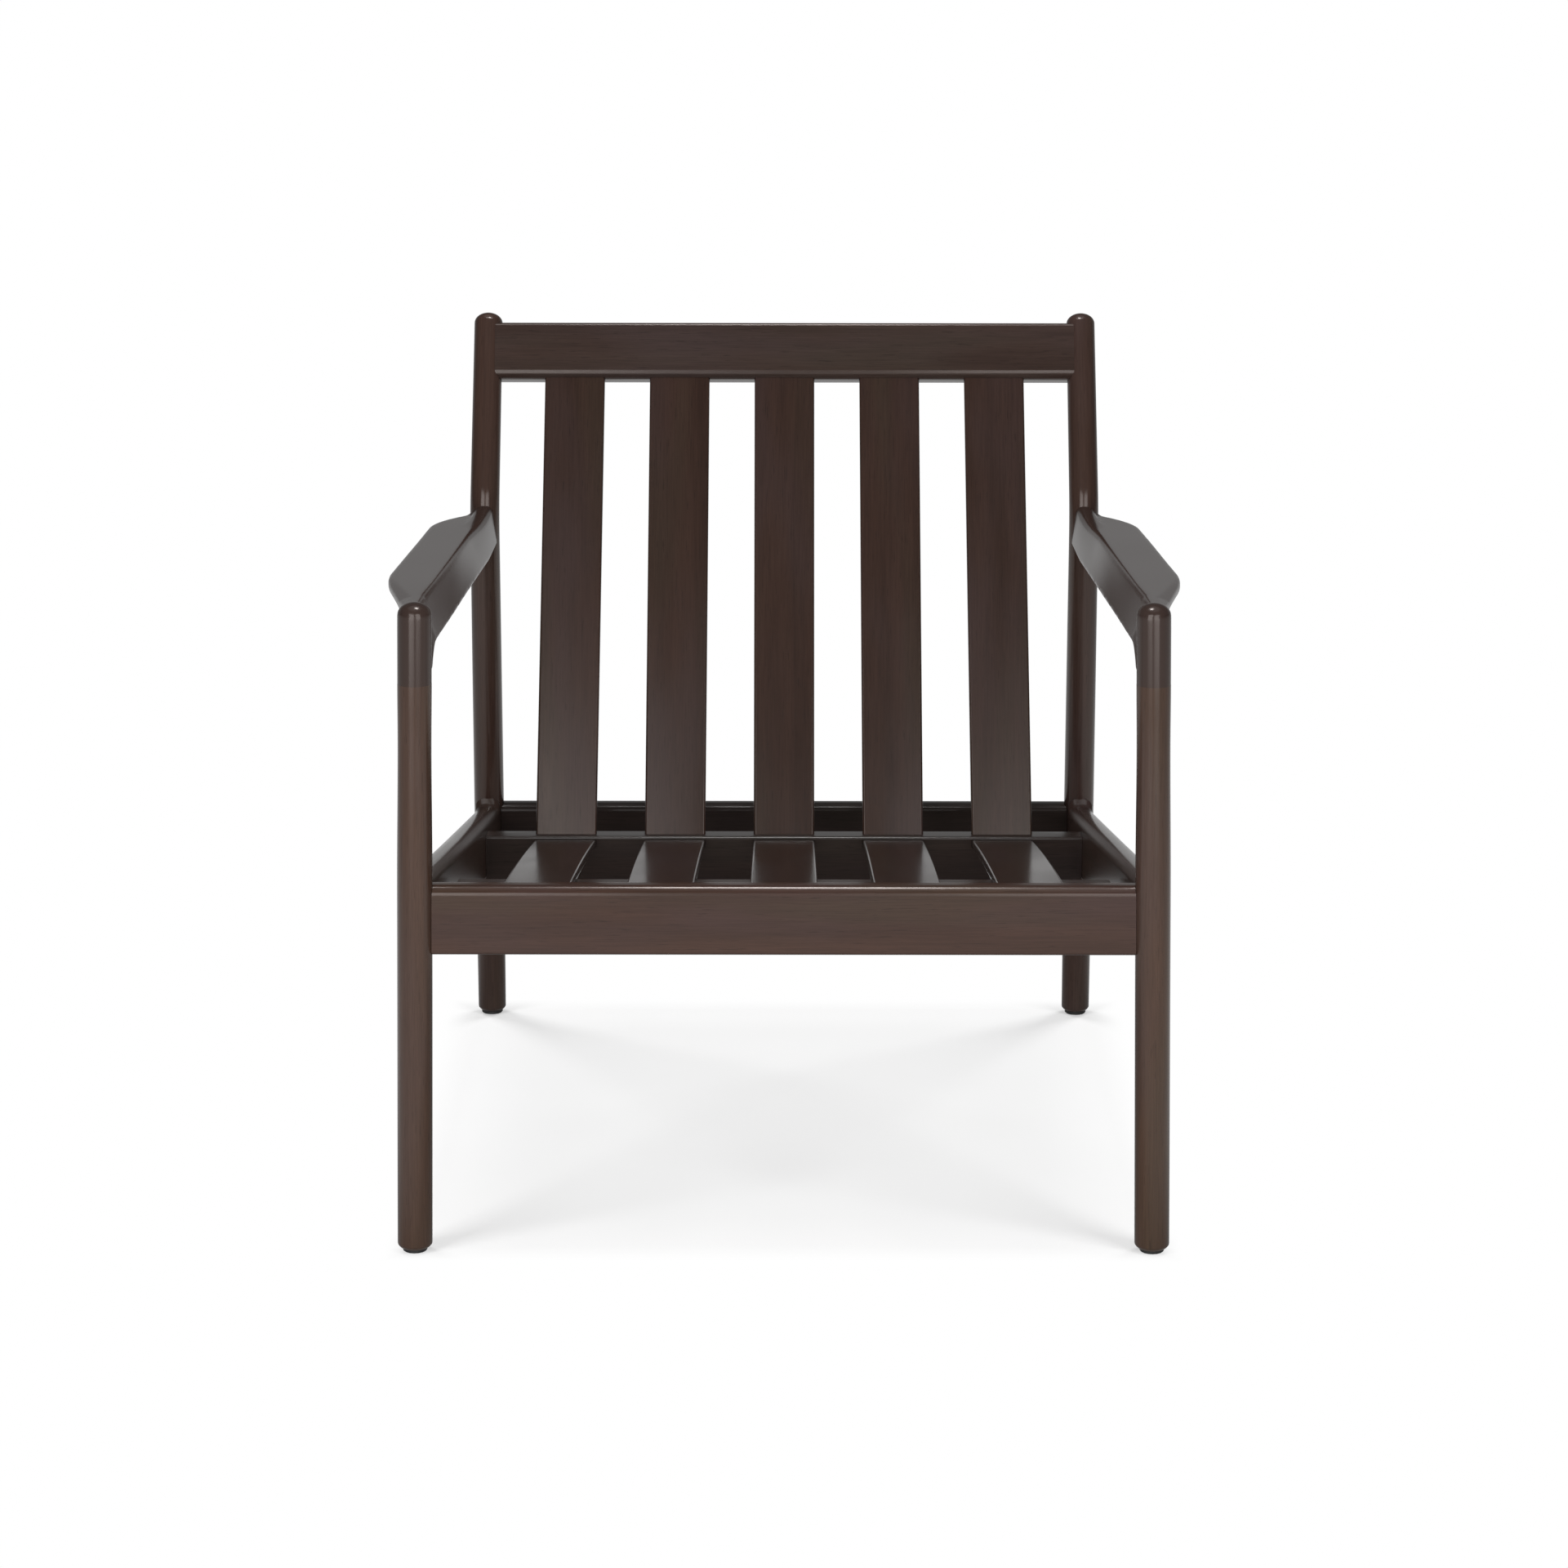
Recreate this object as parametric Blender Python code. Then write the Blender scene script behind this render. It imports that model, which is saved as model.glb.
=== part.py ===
# Lounge armchair frame in dark stained wood: turned front legs, bent rear posts, carved paddle
# arms, a slatted back between two rails and a slatted seat. All sizes are in metres, +Z is up,
# the chair faces -Y, and the origin is on the floor under the middle of the frame.

import bpy
import bmesh
from math import cos, pi, radians, sin, sqrt, tan
from mathutils import Vector

for stale in list(bpy.data.objects):
    bpy.data.objects.remove(stale, do_unlink=True)

# Main sizes
WIDTH = 0.6912                  # between the front-leg axes at the floor
DEPTH = 0.7654                  # from there back to the axes of the rear feet
HEIGHT = 0.7743                 # tips of the rear posts

# Fit of every seated or glued joint
CLEARANCE = 0.0003

# Front legs: turned, leaning out towards the floor
LEG_FOOT_X = WIDTH / 2
LEG_SPLAY = radians(1.04)
LEG_RADIUS = 0.0163             # from the floor up to the front rail
LEG_NECK_RADIUS = 0.0154        # slimmest place, between rail and arm
LEG_NECK_Z = 0.490
LEG_HEAD_RADIUS = 0.0157        # at the joint with the arm and up to its crown
LEG_JOINT_Z = 0.544             # where the arm's own stub takes over from the leg
LEG_TOP_Z = 0.618
LEG_CROWN = 0.010               # height of the rounded crown
FOOT_CHAMFER = 0.003

# Rear posts: raked legs that bend back above the arms
POST_FOOT_INSET = 0.0225        # inside the feet of the front legs
POST_BEND_INSET = 0.0269
POST_TOP_INSET = 0.0289
POST_RAKE = 0.0624              # bend in front of the foot
POST_FOOT_X = LEG_FOOT_X - POST_FOOT_INSET
POST_BEND_X = LEG_FOOT_X - POST_BEND_INSET
POST_TOP_X = LEG_FOOT_X - POST_TOP_INSET
POST_BEND_Y = DEPTH - POST_RAKE
POST_BEND_Z = 0.573
POST_BEND_RADIUS = 0.100
BACK_RECLINE = radians(22.6)
POST_UPPER = (HEIGHT - POST_BEND_Z) / cos(BACK_RECLINE)
POST_FOOT_RADIUS = 0.0150
POST_SEAT_RADIUS = 0.0161
POST_ARM_RADIUS = 0.0155
POST_TOP_RADIUS = 0.0150
POST_CROWN = 0.011

# Seat rails
RAIL_THICKNESS = 0.026
RAIL_ROUND = 0.009              # round-over along the upper edges
RAIL_EASE = 0.004               # eased lower edges
FRONT_RAIL_TOP = 0.354
FRONT_RAIL_HEIGHT = 0.0652
FRONT_RAIL_SET = 0.008          # rail centre behind the leg axis
SIDE_RAIL_TOP = 0.3615          # height of the side rails at the front-leg axis
SIDE_RAIL_FALL = radians(9.1)
SIDE_RAIL_HEIGHT = 0.064
SIDE_RAIL_THICKNESS = 0.027
SIDE_RAIL_ROUND = 0.011
SIDE_RAIL_FLARE = 0.013         # length of the top's sweep up the rear post
SIDE_RAIL_RISE = 0.010          # height of that sweep
REAR_RAIL_TOP = 0.246
REAR_RAIL_HEIGHT = 0.060

# Tenons on rails and arms
TENON_LENGTH = 0.009
TENON_THICKNESS = 0.009
TENON_SHOULDER = 0.014          # rail left above and below its tenon
FRONT_TENON_SET = 0.002         # front-rail tenon behind the leg axis
SLAT_RAIL_TENON = 0.007

# Back: crest rail, lower slat rail and upright slats
CREST_HEIGHT = 0.0610
CREST_THICKNESS = 0.026
CREST_BELOW_TIP = 0.0130        # post crown above the crest
CREST_TOP_EASE = 0.004
CREST_LOW_EASE = 0.006
CREST_FRONT_EASE = 0.0095       # fuller round-over under the front edge
SLAT_RAIL_WIDTH = 0.026
SLAT_RAIL_HEIGHT = 0.0485
SLAT_RAIL_TOP = 0.2565
SLAT_RAIL_FORWARD = 0.0036      # rail centre in front of the slats where they enter it
SLAT_RAIL_EASE = 0.0025
SLAT_COUNT = 5
BACK_SLAT_WIDTH = 0.0636
BACK_SLAT_THICKNESS = 0.010
BACK_SLAT_EASE = 0.0025
BACK_SLAT_FORWARD = 0.0035      # slat plane in front of the post axis
BACK_DRAW_LOW = 0.0009          # pitch under an even share of the width, at the slat rail
BACK_DRAW_HIGH = 0.0035         # and at the crest
BACK_PITCH_LOW = WIDTH / (SLAT_COUNT + 1) - BACK_DRAW_LOW
BACK_PITCH_HIGH = WIDTH / (SLAT_COUNT + 1) - BACK_DRAW_HIGH
BACK_SLAT_LOW_TENON = 0.010
BACK_SLAT_HIGH_TENON = 0.016

# Seat: bowed slats from the front rail to the slat rail, tied by a batten below
SEAT_SLAT_WIDTH = 0.0636
SEAT_SLAT_THICKNESS = 0.009
SEAT_SLAT_EASE = 0.0022
SEAT_SLAT_BOW = 0.0035
SEAT_FAN = 0.0014               # pitch gained from the slat rail to the front rail
SEAT_PITCH_REAR = BACK_PITCH_LOW
SEAT_PITCH_FRONT = SEAT_PITCH_REAR + SEAT_FAN
SEAT_FRONT_BELOW = 0.010        # slat top below the front rail's top
SEAT_REAR_BELOW = 0.003         # slat top below the slat rail's top
SEAT_SLAT_TENON = 0.005
BATTEN_WIDTH = 0.050
BATTEN_THICKNESS = 0.014
BATTEN_Y = 0.166
BATTEN_END_GAP = 0.009          # batten short of the side rails
BATTEN_EASE = 0.002
SCREW_RADIUS = 0.0020
SCREW_HEAD_RADIUS = 0.0038
SCREW_HEAD_HEIGHT = 0.0026
SCREW_BITE = 0.006              # into the slat

# Arms
ARM_TOP_Z = 0.6155              # top surface at the front-leg axis
ARM_FALL = radians(3.55)
ARM_DEPTH_FRONT = 0.0410        # top surface to underside, at the leg
ARM_DEPTH_REAR = 0.0372         # the same at the post
ARM_INNER = 0.0155              # inner lower edge inside the leg-to-post line
ARM_INNER_LIFT = 0.0010         # inner lower edge above the middle of the underside
ARM_RIDGE = 0.0010              # upper inner edge inside that line
ARM_SPINE = 0.0070              # flat underside outside that line
ARM_LEG_SWEEP = 0.045           # length of the underside's sweep down to the leg's joint
ARM_LEG_TAPER = 0.0115          # half width that the sweep thins to at the joint
ARM_POST_SWEEP = 0.012          # length of the sweeps up and down the post
ARM_POST_RISE = 0.003           # height of the upper one
ARM_POST_DROP = 0.009           # depth of the lower one
ARM_INNER_EASE = 0.0028
ARM_RIDGE_EASE = 0.007
ARM_SPINE_EASE = 0.012
WING_REACH = 0.0477             # outer edge outside the leg-to-post line
WING_FRONT_Y = 0.198            # where the wing reaches full width
WING_REAR_SETBACK = 0.074       # rear corner in front of the post axis
WING_LEG_ROOT = 0.0080          # reach where the wing leaves the leg
WING_POST_ROOT = 0.0135         # reach where it meets the post
WING_EDGE = 0.0095              # thickness of the outer edge
WING_EDGE_EASE = 0.0038
WING_BEVEL = 0.0105             # width of the facet along the front edge, fading from leg to corner
WING_BEVEL_FALL = 0.55          # fall of that facet for its width
WING_LEG_HOLLOW = 7             # how soon the edge thins from the leg
WING_POST_HOLLOW = 2            # and from the post
WING_FRONT_EASE = 0.009
WING_REAR_EASE = 0.020
ARM_TENON_HEIGHT = 0.016
DOWEL_RADIUS = 0.006
DOWEL_LENGTH = 0.050
DOWEL_CHAMFER = 0.0012

# Glides under the feet
GLIDE_RADIUS = 0.0115
GLIDE_HEIGHT = 0.0035
GLIDE_EASE = 0.001
GLIDE_PIN_RADIUS = 0.0015
GLIDE_PIN_LENGTH = 0.012

SIDES = {"left": -1, "right": 1}
ROUND_SIDES = 24
FOOT_Z = GLIDE_HEIGHT + CLEARANCE

back_up = Vector((0, sin(BACK_RECLINE), cos(BACK_RECLINE)))
back_forward = Vector((0, -cos(BACK_RECLINE), sin(BACK_RECLINE)))


def blend(a, b, t):
    return a + (b - a) * t


def ease_min(a, b, reach):
    # the smaller of two lines, with their corner rounded off over a span of values
    overlap = max(reach - abs(a - b), 0) / reach
    return min(a, b) - overlap * overlap * reach / 4


def sweep(distance, length, height):
    # height of an elliptic sweep at a distance from the face that it runs up
    near = min(max(1 - distance / length, 0), 1)
    return height * (1 - sqrt(1 - near * near))


def rounded(corners, radii, steps=3):
    # closed outline through flat corner points, each corner turned by an arc
    outline = []
    for i, corner in enumerate(corners):
        corner = Vector(corner)
        back = Vector(corners[i - 1]) - corner
        ahead = Vector(corners[(i + 1) % len(corners)]) - corner
        half = back.angle(ahead) / 2
        run = min(radii[i] / tan(half), 0.45 * back.length, 0.45 * ahead.length)
        start = corner + back.normalized() * run
        end = corner + ahead.normalized() * run
        reach = (back.normalized() + ahead.normalized()).normalized() * run / cos(half)
        hub = corner + reach
        radius = (start - hub).length
        for k in range(steps + 1):
            spoke = (start - hub).slerp(end - hub, k / steps)
            outline.append(hub + spoke.normalized() * radius)
    return outline


def material(name, colour, roughness, metallic=0.0):
    made = bpy.data.materials.new(name)
    made.use_nodes = True
    shader = made.node_tree.nodes["Principled BSDF"]
    shader.inputs["Base Color"].default_value = (*colour, 1.0)
    shader.inputs["Roughness"].default_value = roughness
    shader.inputs["Metallic"].default_value = metallic
    return made


def place(name, mesh):
    bmesh.ops.recalc_face_normals(mesh, faces=mesh.faces)
    if mesh.calc_volume(signed=True) < 0:
        bmesh.ops.reverse_faces(mesh, faces=mesh.faces)
    data = bpy.data.meshes.new(name)
    mesh.to_mesh(data)
    mesh.free()
    made = bpy.data.objects.new(name, data)
    bpy.context.collection.objects.link(made)
    return made


def loft(name, rings):
    # solid skin over rings of points that match one to one, with flat ends
    mesh = bmesh.new()
    loops = [[mesh.verts.new(point) for point in ring] for ring in rings]
    for lower, upper in zip(loops, loops[1:]):
        for i in range(len(lower)):
            j = (i + 1) % len(lower)
            mesh.faces.new((lower[i], lower[j], upper[j], upper[i]))
    mesh.faces.new(loops[0])
    mesh.faces.new(loops[-1])
    return place(name, mesh)


def ring(centre, axis, radius, level_z=None, sides=ROUND_SIDES):
    # circle square to an axis; a level ring is slid along the axis onto one height
    axis = axis.normalized()
    across = (Vector((1, 0, 0)) - axis * axis.x).normalized()
    other = axis.cross(across)
    points = []
    for i in range(sides):
        turn = 2 * pi * i / sides
        point = centre + (across * cos(turn) + other * sin(turn)) * radius
        if level_z is not None:
            point = point + axis * ((level_z - point.z) / axis.z)
        points.append(point)
    return points


def crown(centre, axis, radius, height, steps=5):
    # rings of a rounded end that stands on a circle, up to a small flat
    axis = axis.normalized()
    rings = []
    for k in range(1, steps + 1):
        turn = 0.5 * pi * k / (steps + 0.35)
        rings.append(ring(centre + axis * height * sin(turn), axis, radius * cos(turn)))
    return rings


def block(name, low, high):
    x0, y0, z0 = low
    x1, y1, z1 = high
    base = [Vector((x0, y0, z0)), Vector((x1, y0, z0)), Vector((x1, y1, z0)), Vector((x0, y1, z0))]
    lift = Vector((0, 0, z1 - z0))
    return loft(name, [base, [point + lift for point in base]])


def sorted_block(name, corner, opposite, grow=0.0):
    low = [min(a, b) - grow for a, b in zip(corner, opposite)]
    high = [max(a, b) + grow for a, b in zip(corner, opposite)]
    return block(name, low, high)


def carve(piece, cutter, operation="DIFFERENCE"):
    # boolean of one solid with another; the cutter is used up
    cut = piece.modifiers.new("cut", "BOOLEAN")
    cut.operation = operation
    cut.object = cutter
    cut.solver = "EXACT"
    bpy.context.view_layer.update()
    graph = bpy.context.evaluated_depsgraph_get()
    shaped = bpy.data.meshes.new_from_object(piece.evaluated_get(graph))
    plain = piece.data
    piece.modifiers.clear()
    piece.data = shaped
    bpy.data.meshes.remove(plain)
    bpy.data.objects.remove(cutter, do_unlink=True)
    return piece


# Axes of the legs and posts, shared by every piece that meets them

def leg_axis(side, z):
    return Vector((side * (LEG_FOOT_X - z * tan(LEG_SPLAY)), 0, z))


def leg_radius(z):
    if z < FRONT_RAIL_TOP:
        return LEG_RADIUS
    if z < LEG_NECK_Z:
        return blend(LEG_RADIUS, LEG_NECK_RADIUS, (z - FRONT_RAIL_TOP) / (LEG_NECK_Z - FRONT_RAIL_TOP))
    t = min((z - LEG_NECK_Z) / (LEG_JOINT_Z - LEG_NECK_Z), 1)
    return blend(LEG_NECK_RADIUS, LEG_HEAD_RADIUS, t)


def post_path(side):
    # points and directions up the post: straight leg, round bend, straight back upright
    foot = Vector((side * POST_FOOT_X, DEPTH, 0))
    corner = Vector((side * POST_BEND_X, POST_BEND_Y, POST_BEND_Z))
    tip = corner + back_up * POST_UPPER
    tip.x = side * POST_TOP_X
    lower = (corner - foot).normalized()
    upper = (tip - corner).normalized()
    turn = lower.angle(upper)
    inward = (upper - lower * cos(turn)) / sin(turn)
    run = POST_BEND_RADIUS * tan(turn / 2)
    start = corner - lower * run
    path = []
    for height in (0, REAR_RAIL_TOP / 2, REAR_RAIL_TOP, (REAR_RAIL_TOP + start.z) / 2):
        path.append((foot + lower * (height / lower.z), lower))
    for k in range(8):
        angle = turn * k / 7
        point = start + (lower * sin(angle) + inward * (1 - cos(angle))) * POST_BEND_RADIUS
        path.append((point, lower * cos(angle) + inward * sin(angle)))
    path.append((tip - upper * POST_CROWN, upper))
    return path


def post_axis(side, z):
    path = post_path(side)
    for (low, _), (high, _) in zip(path, path[1:]):
        if z <= high.z:
            break
    return low.lerp(high, (z - low.z) / (high.z - low.z))


def post_radius(z):
    if z < REAR_RAIL_TOP:
        return blend(POST_FOOT_RADIUS, POST_SEAT_RADIUS, max(z, 0) / REAR_RAIL_TOP)
    if z < POST_BEND_Z:
        t = (z - REAR_RAIL_TOP) / (POST_BEND_Z - REAR_RAIL_TOP)
        return blend(POST_SEAT_RADIUS, POST_ARM_RADIUS, t)
    top = POST_BEND_Z + POST_UPPER * cos(BACK_RECLINE)
    return blend(POST_ARM_RADIUS, POST_TOP_RADIUS, min((z - POST_BEND_Z) / (top - POST_BEND_Z), 1))


def leg_solid(name, side, grow=0.0):
    up = Vector((0, 0, 1))
    rings = []
    for z, inset in ((FOOT_Z, FOOT_CHAMFER), (FOOT_Z + FOOT_CHAMFER, 0), (FRONT_RAIL_TOP, 0),
                     (LEG_NECK_Z, 0), (LEG_JOINT_Z, 0)):
        rings.append(ring(leg_axis(side, z), up, leg_radius(z) - inset + grow))
    return loft(name, rings)


def post_solid(name, side, grow=0.0):
    path = post_path(side)
    foot, lean = path[0]
    rings = []
    for z, inset in ((FOOT_Z, FOOT_CHAMFER), (FOOT_Z + FOOT_CHAMFER, 0)):
        centre = foot + lean * (z / lean.z)
        rings.append(ring(centre, lean, post_radius(z) - inset + grow, level_z=z))
    for point, axis in path[1:]:
        rings.append(ring(point, axis, post_radius(point.z) + grow))
    point, axis = path[-1]
    rings.extend(crown(point, axis, POST_TOP_RADIUS + grow, POST_CROWN + grow))
    return loft(name, rings)


# Side rails: they fall towards the rear and toe in from the leg to the post

def side_rail_top(y):
    return SIDE_RAIL_TOP - y * tan(SIDE_RAIL_FALL)


side_front_z = SIDE_RAIL_TOP - SIDE_RAIL_HEIGHT / 2
side_rear_y = post_axis(1, side_rail_top(DEPTH) - SIDE_RAIL_HEIGHT / 2).y
side_rear_z = side_rail_top(side_rear_y) - SIDE_RAIL_HEIGHT / 2


def side_rail_x(y):
    front = leg_axis(1, side_front_z).x
    rear = post_axis(1, side_rear_z).x
    return blend(front, rear, y / side_rear_y)


def side_rail_solid(name, side, grow=0.0):
    post_face = side_rear_y - POST_SEAT_RADIUS
    stations = [0, 0.5 * post_face, post_face - 2 * SIDE_RAIL_FLARE]
    stations += [post_face - SIDE_RAIL_FLARE * (1 - k / 5) for k in range(6)]
    stations += [side_rear_y]
    half = SIDE_RAIL_THICKNESS / 2 + grow
    rings = []
    for y in stations:
        top = side_rail_top(y) + sweep(post_face - y, SIDE_RAIL_FLARE, SIDE_RAIL_RISE) + grow
        low = side_rail_top(y) - SIDE_RAIL_HEIGHT - grow
        corners = [(-half, low), (half, low), (half, top), (-half, top)]
        radii = (RAIL_EASE, RAIL_EASE, SIDE_RAIL_ROUND, SIDE_RAIL_ROUND)
        points = []
        for x, z in rounded(corners, radii, 4):
            rake = (post_axis(side, z).y - side_rear_y) * y / side_rear_y
            points.append(Vector((side * side_rail_x(y) + x, y + rake, z)))
        rings.append(points)
    return loft(name, rings)


def rail_tenon(side, face_y, into, middle_z, grow):
    # upright tongue at a side rail's end, through the face that it enters
    half = TENON_THICKNESS / 2
    x = side * side_rail_x(face_y)
    rise = SIDE_RAIL_HEIGHT / 2 - TENON_SHOULDER
    return sorted_block("tenon", (x - half, face_y - into * TENON_LENGTH, middle_z - rise),
                        (x + half, face_y + into * TENON_LENGTH, middle_z + rise), grow)


def leg_tenon(side, grow=0.0):
    return rail_tenon(side, leg_radius(side_front_z), -1, side_front_z, grow)


def post_tenon(side, grow=0.0):
    return rail_tenon(side, side_rear_y - POST_SEAT_RADIUS, 1, side_rear_z, grow)


# Rails that run across the chair

def cross_rail(name, half_length, corners, radii, steps=4):
    outline = rounded(corners, radii, steps)
    return loft(name, [[Vector((x, y, z)) for y, z in outline] for x in (-half_length, half_length)])


def cross_tenon(side, face_x, y, z0, z1, length=TENON_LENGTH, grow=0.0):
    half = TENON_THICKNESS / 2
    inner = side * (face_x - TENON_LENGTH)
    outer = side * (face_x + length)
    return sorted_block("tenon", (inner, y - half, z0), (outer, y + half, z1), grow)


front_low = FRONT_RAIL_TOP - FRONT_RAIL_HEIGHT
front_mid = FRONT_RAIL_TOP - FRONT_RAIL_HEIGHT / 2
front_leg_x = leg_axis(1, front_mid).x
rear_low = REAR_RAIL_TOP - REAR_RAIL_HEIGHT
rear_mid = REAR_RAIL_TOP - REAR_RAIL_HEIGHT / 2
rear_post = post_axis(1, rear_mid)


def front_tenon(side, grow=0.0):
    return cross_tenon(side, front_leg_x - LEG_RADIUS, FRONT_TENON_SET,
                       front_low + TENON_SHOULDER, FRONT_RAIL_TOP - TENON_SHOULDER, grow=grow)


def rear_tenon(side, grow=0.0):
    return cross_tenon(side, rear_post.x - post_radius(rear_mid), rear_post.y,
                       rear_low + TENON_SHOULDER, REAR_RAIL_TOP - TENON_SHOULDER, grow=grow)


# The crest lies in the plane of the reclined uprights

post_tip = Vector((0, POST_BEND_Y, POST_BEND_Z)) + back_up * POST_UPPER


def back_point(x, down, forward):
    # down the uprights from their tips, forward of their axis
    return post_tip - back_up * down + back_forward * forward + Vector((x, 0, 0))


crest_mid = CREST_BELOW_TIP + CREST_HEIGHT / 2
crest_post_x = blend(POST_TOP_X, POST_BEND_X, crest_mid / POST_UPPER)


def crest_tenon(side, grow=0.0):
    half = TENON_THICKNESS / 2 + grow
    face = crest_post_x - post_radius(post_tip.z - crest_mid * cos(BACK_RECLINE))
    high = CREST_BELOW_TIP + TENON_SHOULDER - grow
    low = CREST_BELOW_TIP + CREST_HEIGHT - TENON_SHOULDER + grow
    ends = (side * (face - TENON_LENGTH - grow), side * (face + TENON_LENGTH + grow))
    section = [(low, half), (low, -half), (high, -half), (high, half)]
    return loft("tenon", [[back_point(x, down, forward) for down, forward in section] for x in ends])


# Back slats stand in the slat rail and run up into the crest

def back_slat_drop(z):
    # distance down the uprights to a height on the slat plane
    return (post_tip.z + BACK_SLAT_FORWARD * sin(BACK_RECLINE) - z) / cos(BACK_RECLINE)


slat_rail_drop = back_slat_drop(SLAT_RAIL_TOP)
slat_rail_y = back_point(0, slat_rail_drop, BACK_SLAT_FORWARD).y - SLAT_RAIL_FORWARD
slat_rail_low = SLAT_RAIL_TOP - SLAT_RAIL_HEIGHT


def back_slat_solid(name, index, grow=0.0):
    place_along = index - (SLAT_COUNT - 1) / 2
    half = BACK_SLAT_WIDTH / 2 + grow
    thick = BACK_SLAT_THICKNESS / 2 + grow
    low = slat_rail_drop + BACK_SLAT_LOW_TENON + grow
    high = CREST_BELOW_TIP + CREST_HEIGHT - BACK_SLAT_HIGH_TENON - grow
    corners = [(-half, -thick), (half, -thick), (half, thick), (-half, thick)]
    outline = rounded(corners, [BACK_SLAT_EASE] * 4, 3)
    rings = []
    for down in (low, high):
        t = (slat_rail_drop - down) / (slat_rail_drop - CREST_BELOW_TIP - CREST_HEIGHT)
        middle = place_along * blend(BACK_PITCH_LOW, BACK_PITCH_HIGH, t)
        rings.append([back_point(middle + x, down, BACK_SLAT_FORWARD + n) for x, n in outline])
    return loft(name, rings)


# Seat slats: shallow bows from a housing in the front rail to one in the slat rail

seat_front_y = FRONT_RAIL_SET + RAIL_THICKNESS / 2
seat_rear_y = slat_rail_y - SLAT_RAIL_WIDTH / 2
seat_front_z = FRONT_RAIL_TOP - SEAT_FRONT_BELOW
seat_rear_z = SLAT_RAIL_TOP - SEAT_REAR_BELOW


def seat_top(y):
    t = (y - seat_front_y) / (seat_rear_y - seat_front_y)
    return blend(seat_front_z, seat_rear_z, t) + 4 * SEAT_SLAT_BOW * t * (1 - t)


def seat_slat_x(index, y):
    t = (y - seat_front_y) / (seat_rear_y - seat_front_y)
    return (index - (SLAT_COUNT - 1) / 2) * blend(SEAT_PITCH_FRONT, SEAT_PITCH_REAR, t)


def seat_slat_solid(name, index, grow=0.0):
    half = SEAT_SLAT_WIDTH / 2 + grow
    first = seat_front_y - SEAT_SLAT_TENON - grow
    last = seat_rear_y + SEAT_SLAT_TENON + grow
    rings = []
    for k in range(11):
        y = blend(first, last, k / 10)
        top = seat_top(y) + grow
        low = seat_top(y) - SEAT_SLAT_THICKNESS - grow
        corners = [(-half, low), (half, low), (half, top), (-half, top)]
        outline = rounded(corners, [SEAT_SLAT_EASE] * 4, 3)
        rings.append([Vector((seat_slat_x(index, y) + x, y, z)) for x, z in outline])
    return loft(name, rings)


# The batten hangs under the slats, square to them where it crosses

batten_front = BATTEN_Y - BATTEN_WIDTH / 2
batten_slope = (seat_top(batten_front + BATTEN_WIDTH) - seat_top(batten_front)) / BATTEN_WIDTH
batten_along = Vector((0, 1, batten_slope)).normalized()
batten_up = Vector((0, -batten_slope, 1)).normalized()
batten_edge_z = seat_top(batten_front) - SEAT_SLAT_THICKNESS - CLEARANCE
batten_top = Vector((0, BATTEN_Y, batten_edge_z + batten_slope * BATTEN_WIDTH / 2))


def batten_point(x, along, up):
    return batten_top + batten_along * along + batten_up * up + Vector((x, 0, 0))


def screw_solid(name, index, grow=0.0):
    # countersunk head flush with the batten's underside, shank up into the slat
    base = batten_point(seat_slat_x(index, BATTEN_Y), 0, -BATTEN_THICKNESS)
    reach = BATTEN_THICKNESS + CLEARANCE + SCREW_BITE
    profile = ((-grow, SCREW_HEAD_RADIUS), (SCREW_HEAD_HEIGHT, SCREW_RADIUS), (reach + grow, SCREW_RADIUS))
    rings = []
    for height, radius in profile:
        rings.append(ring(base + batten_up * height, batten_up, radius + grow, sides=12))
    return loft(name, rings)


# Arms: carved from the solid, with a stub that continues the front leg and a paddle wing outside

arm_post_z = ARM_TOP_Z - POST_BEND_Y * tan(ARM_FALL) - ARM_DEPTH_REAR / 2
arm_post_y = post_axis(1, arm_post_z).y
arm_post_face = arm_post_y - post_radius(arm_post_z)


def arm_line_x(y):
    front = leg_axis(1, ARM_TOP_Z - ARM_DEPTH_FRONT / 2).x
    return blend(front, post_axis(1, arm_post_z).x, y / arm_post_y)


def arm_top(y):
    # falls towards the post and sinks under the leg's crown in front
    sink = LEG_CROWN * max(1 - y / LEG_HEAD_RADIUS, 0) ** 2
    return ARM_TOP_Z - y * tan(ARM_FALL) - sink


def arm_depth(y):
    return blend(ARM_DEPTH_FRONT, ARM_DEPTH_REAR, y / arm_post_y)


def leg_sweep(y):
    # share of the way down to the joint
    return sweep(y - LEG_HEAD_RADIUS, ARM_LEG_SWEEP, 1)


def arm_low(y):
    plain = ARM_TOP_Z - y * tan(ARM_FALL) - arm_depth(y)
    at_post = sweep(arm_post_face - y, ARM_POST_SWEEP, ARM_POST_DROP)
    return blend(plain - at_post, LEG_JOINT_Z + CLEARANCE, leg_sweep(y))


def wing_reach(y):
    front = blend(WING_LEG_ROOT, WING_REACH, y / WING_FRONT_Y)
    rear = blend(WING_POST_ROOT, WING_REACH, (arm_post_y - y) / WING_REAR_SETBACK)
    return ease_min(ease_min(front, WING_REACH, WING_FRONT_EASE), rear, WING_REAR_EASE)


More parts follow.
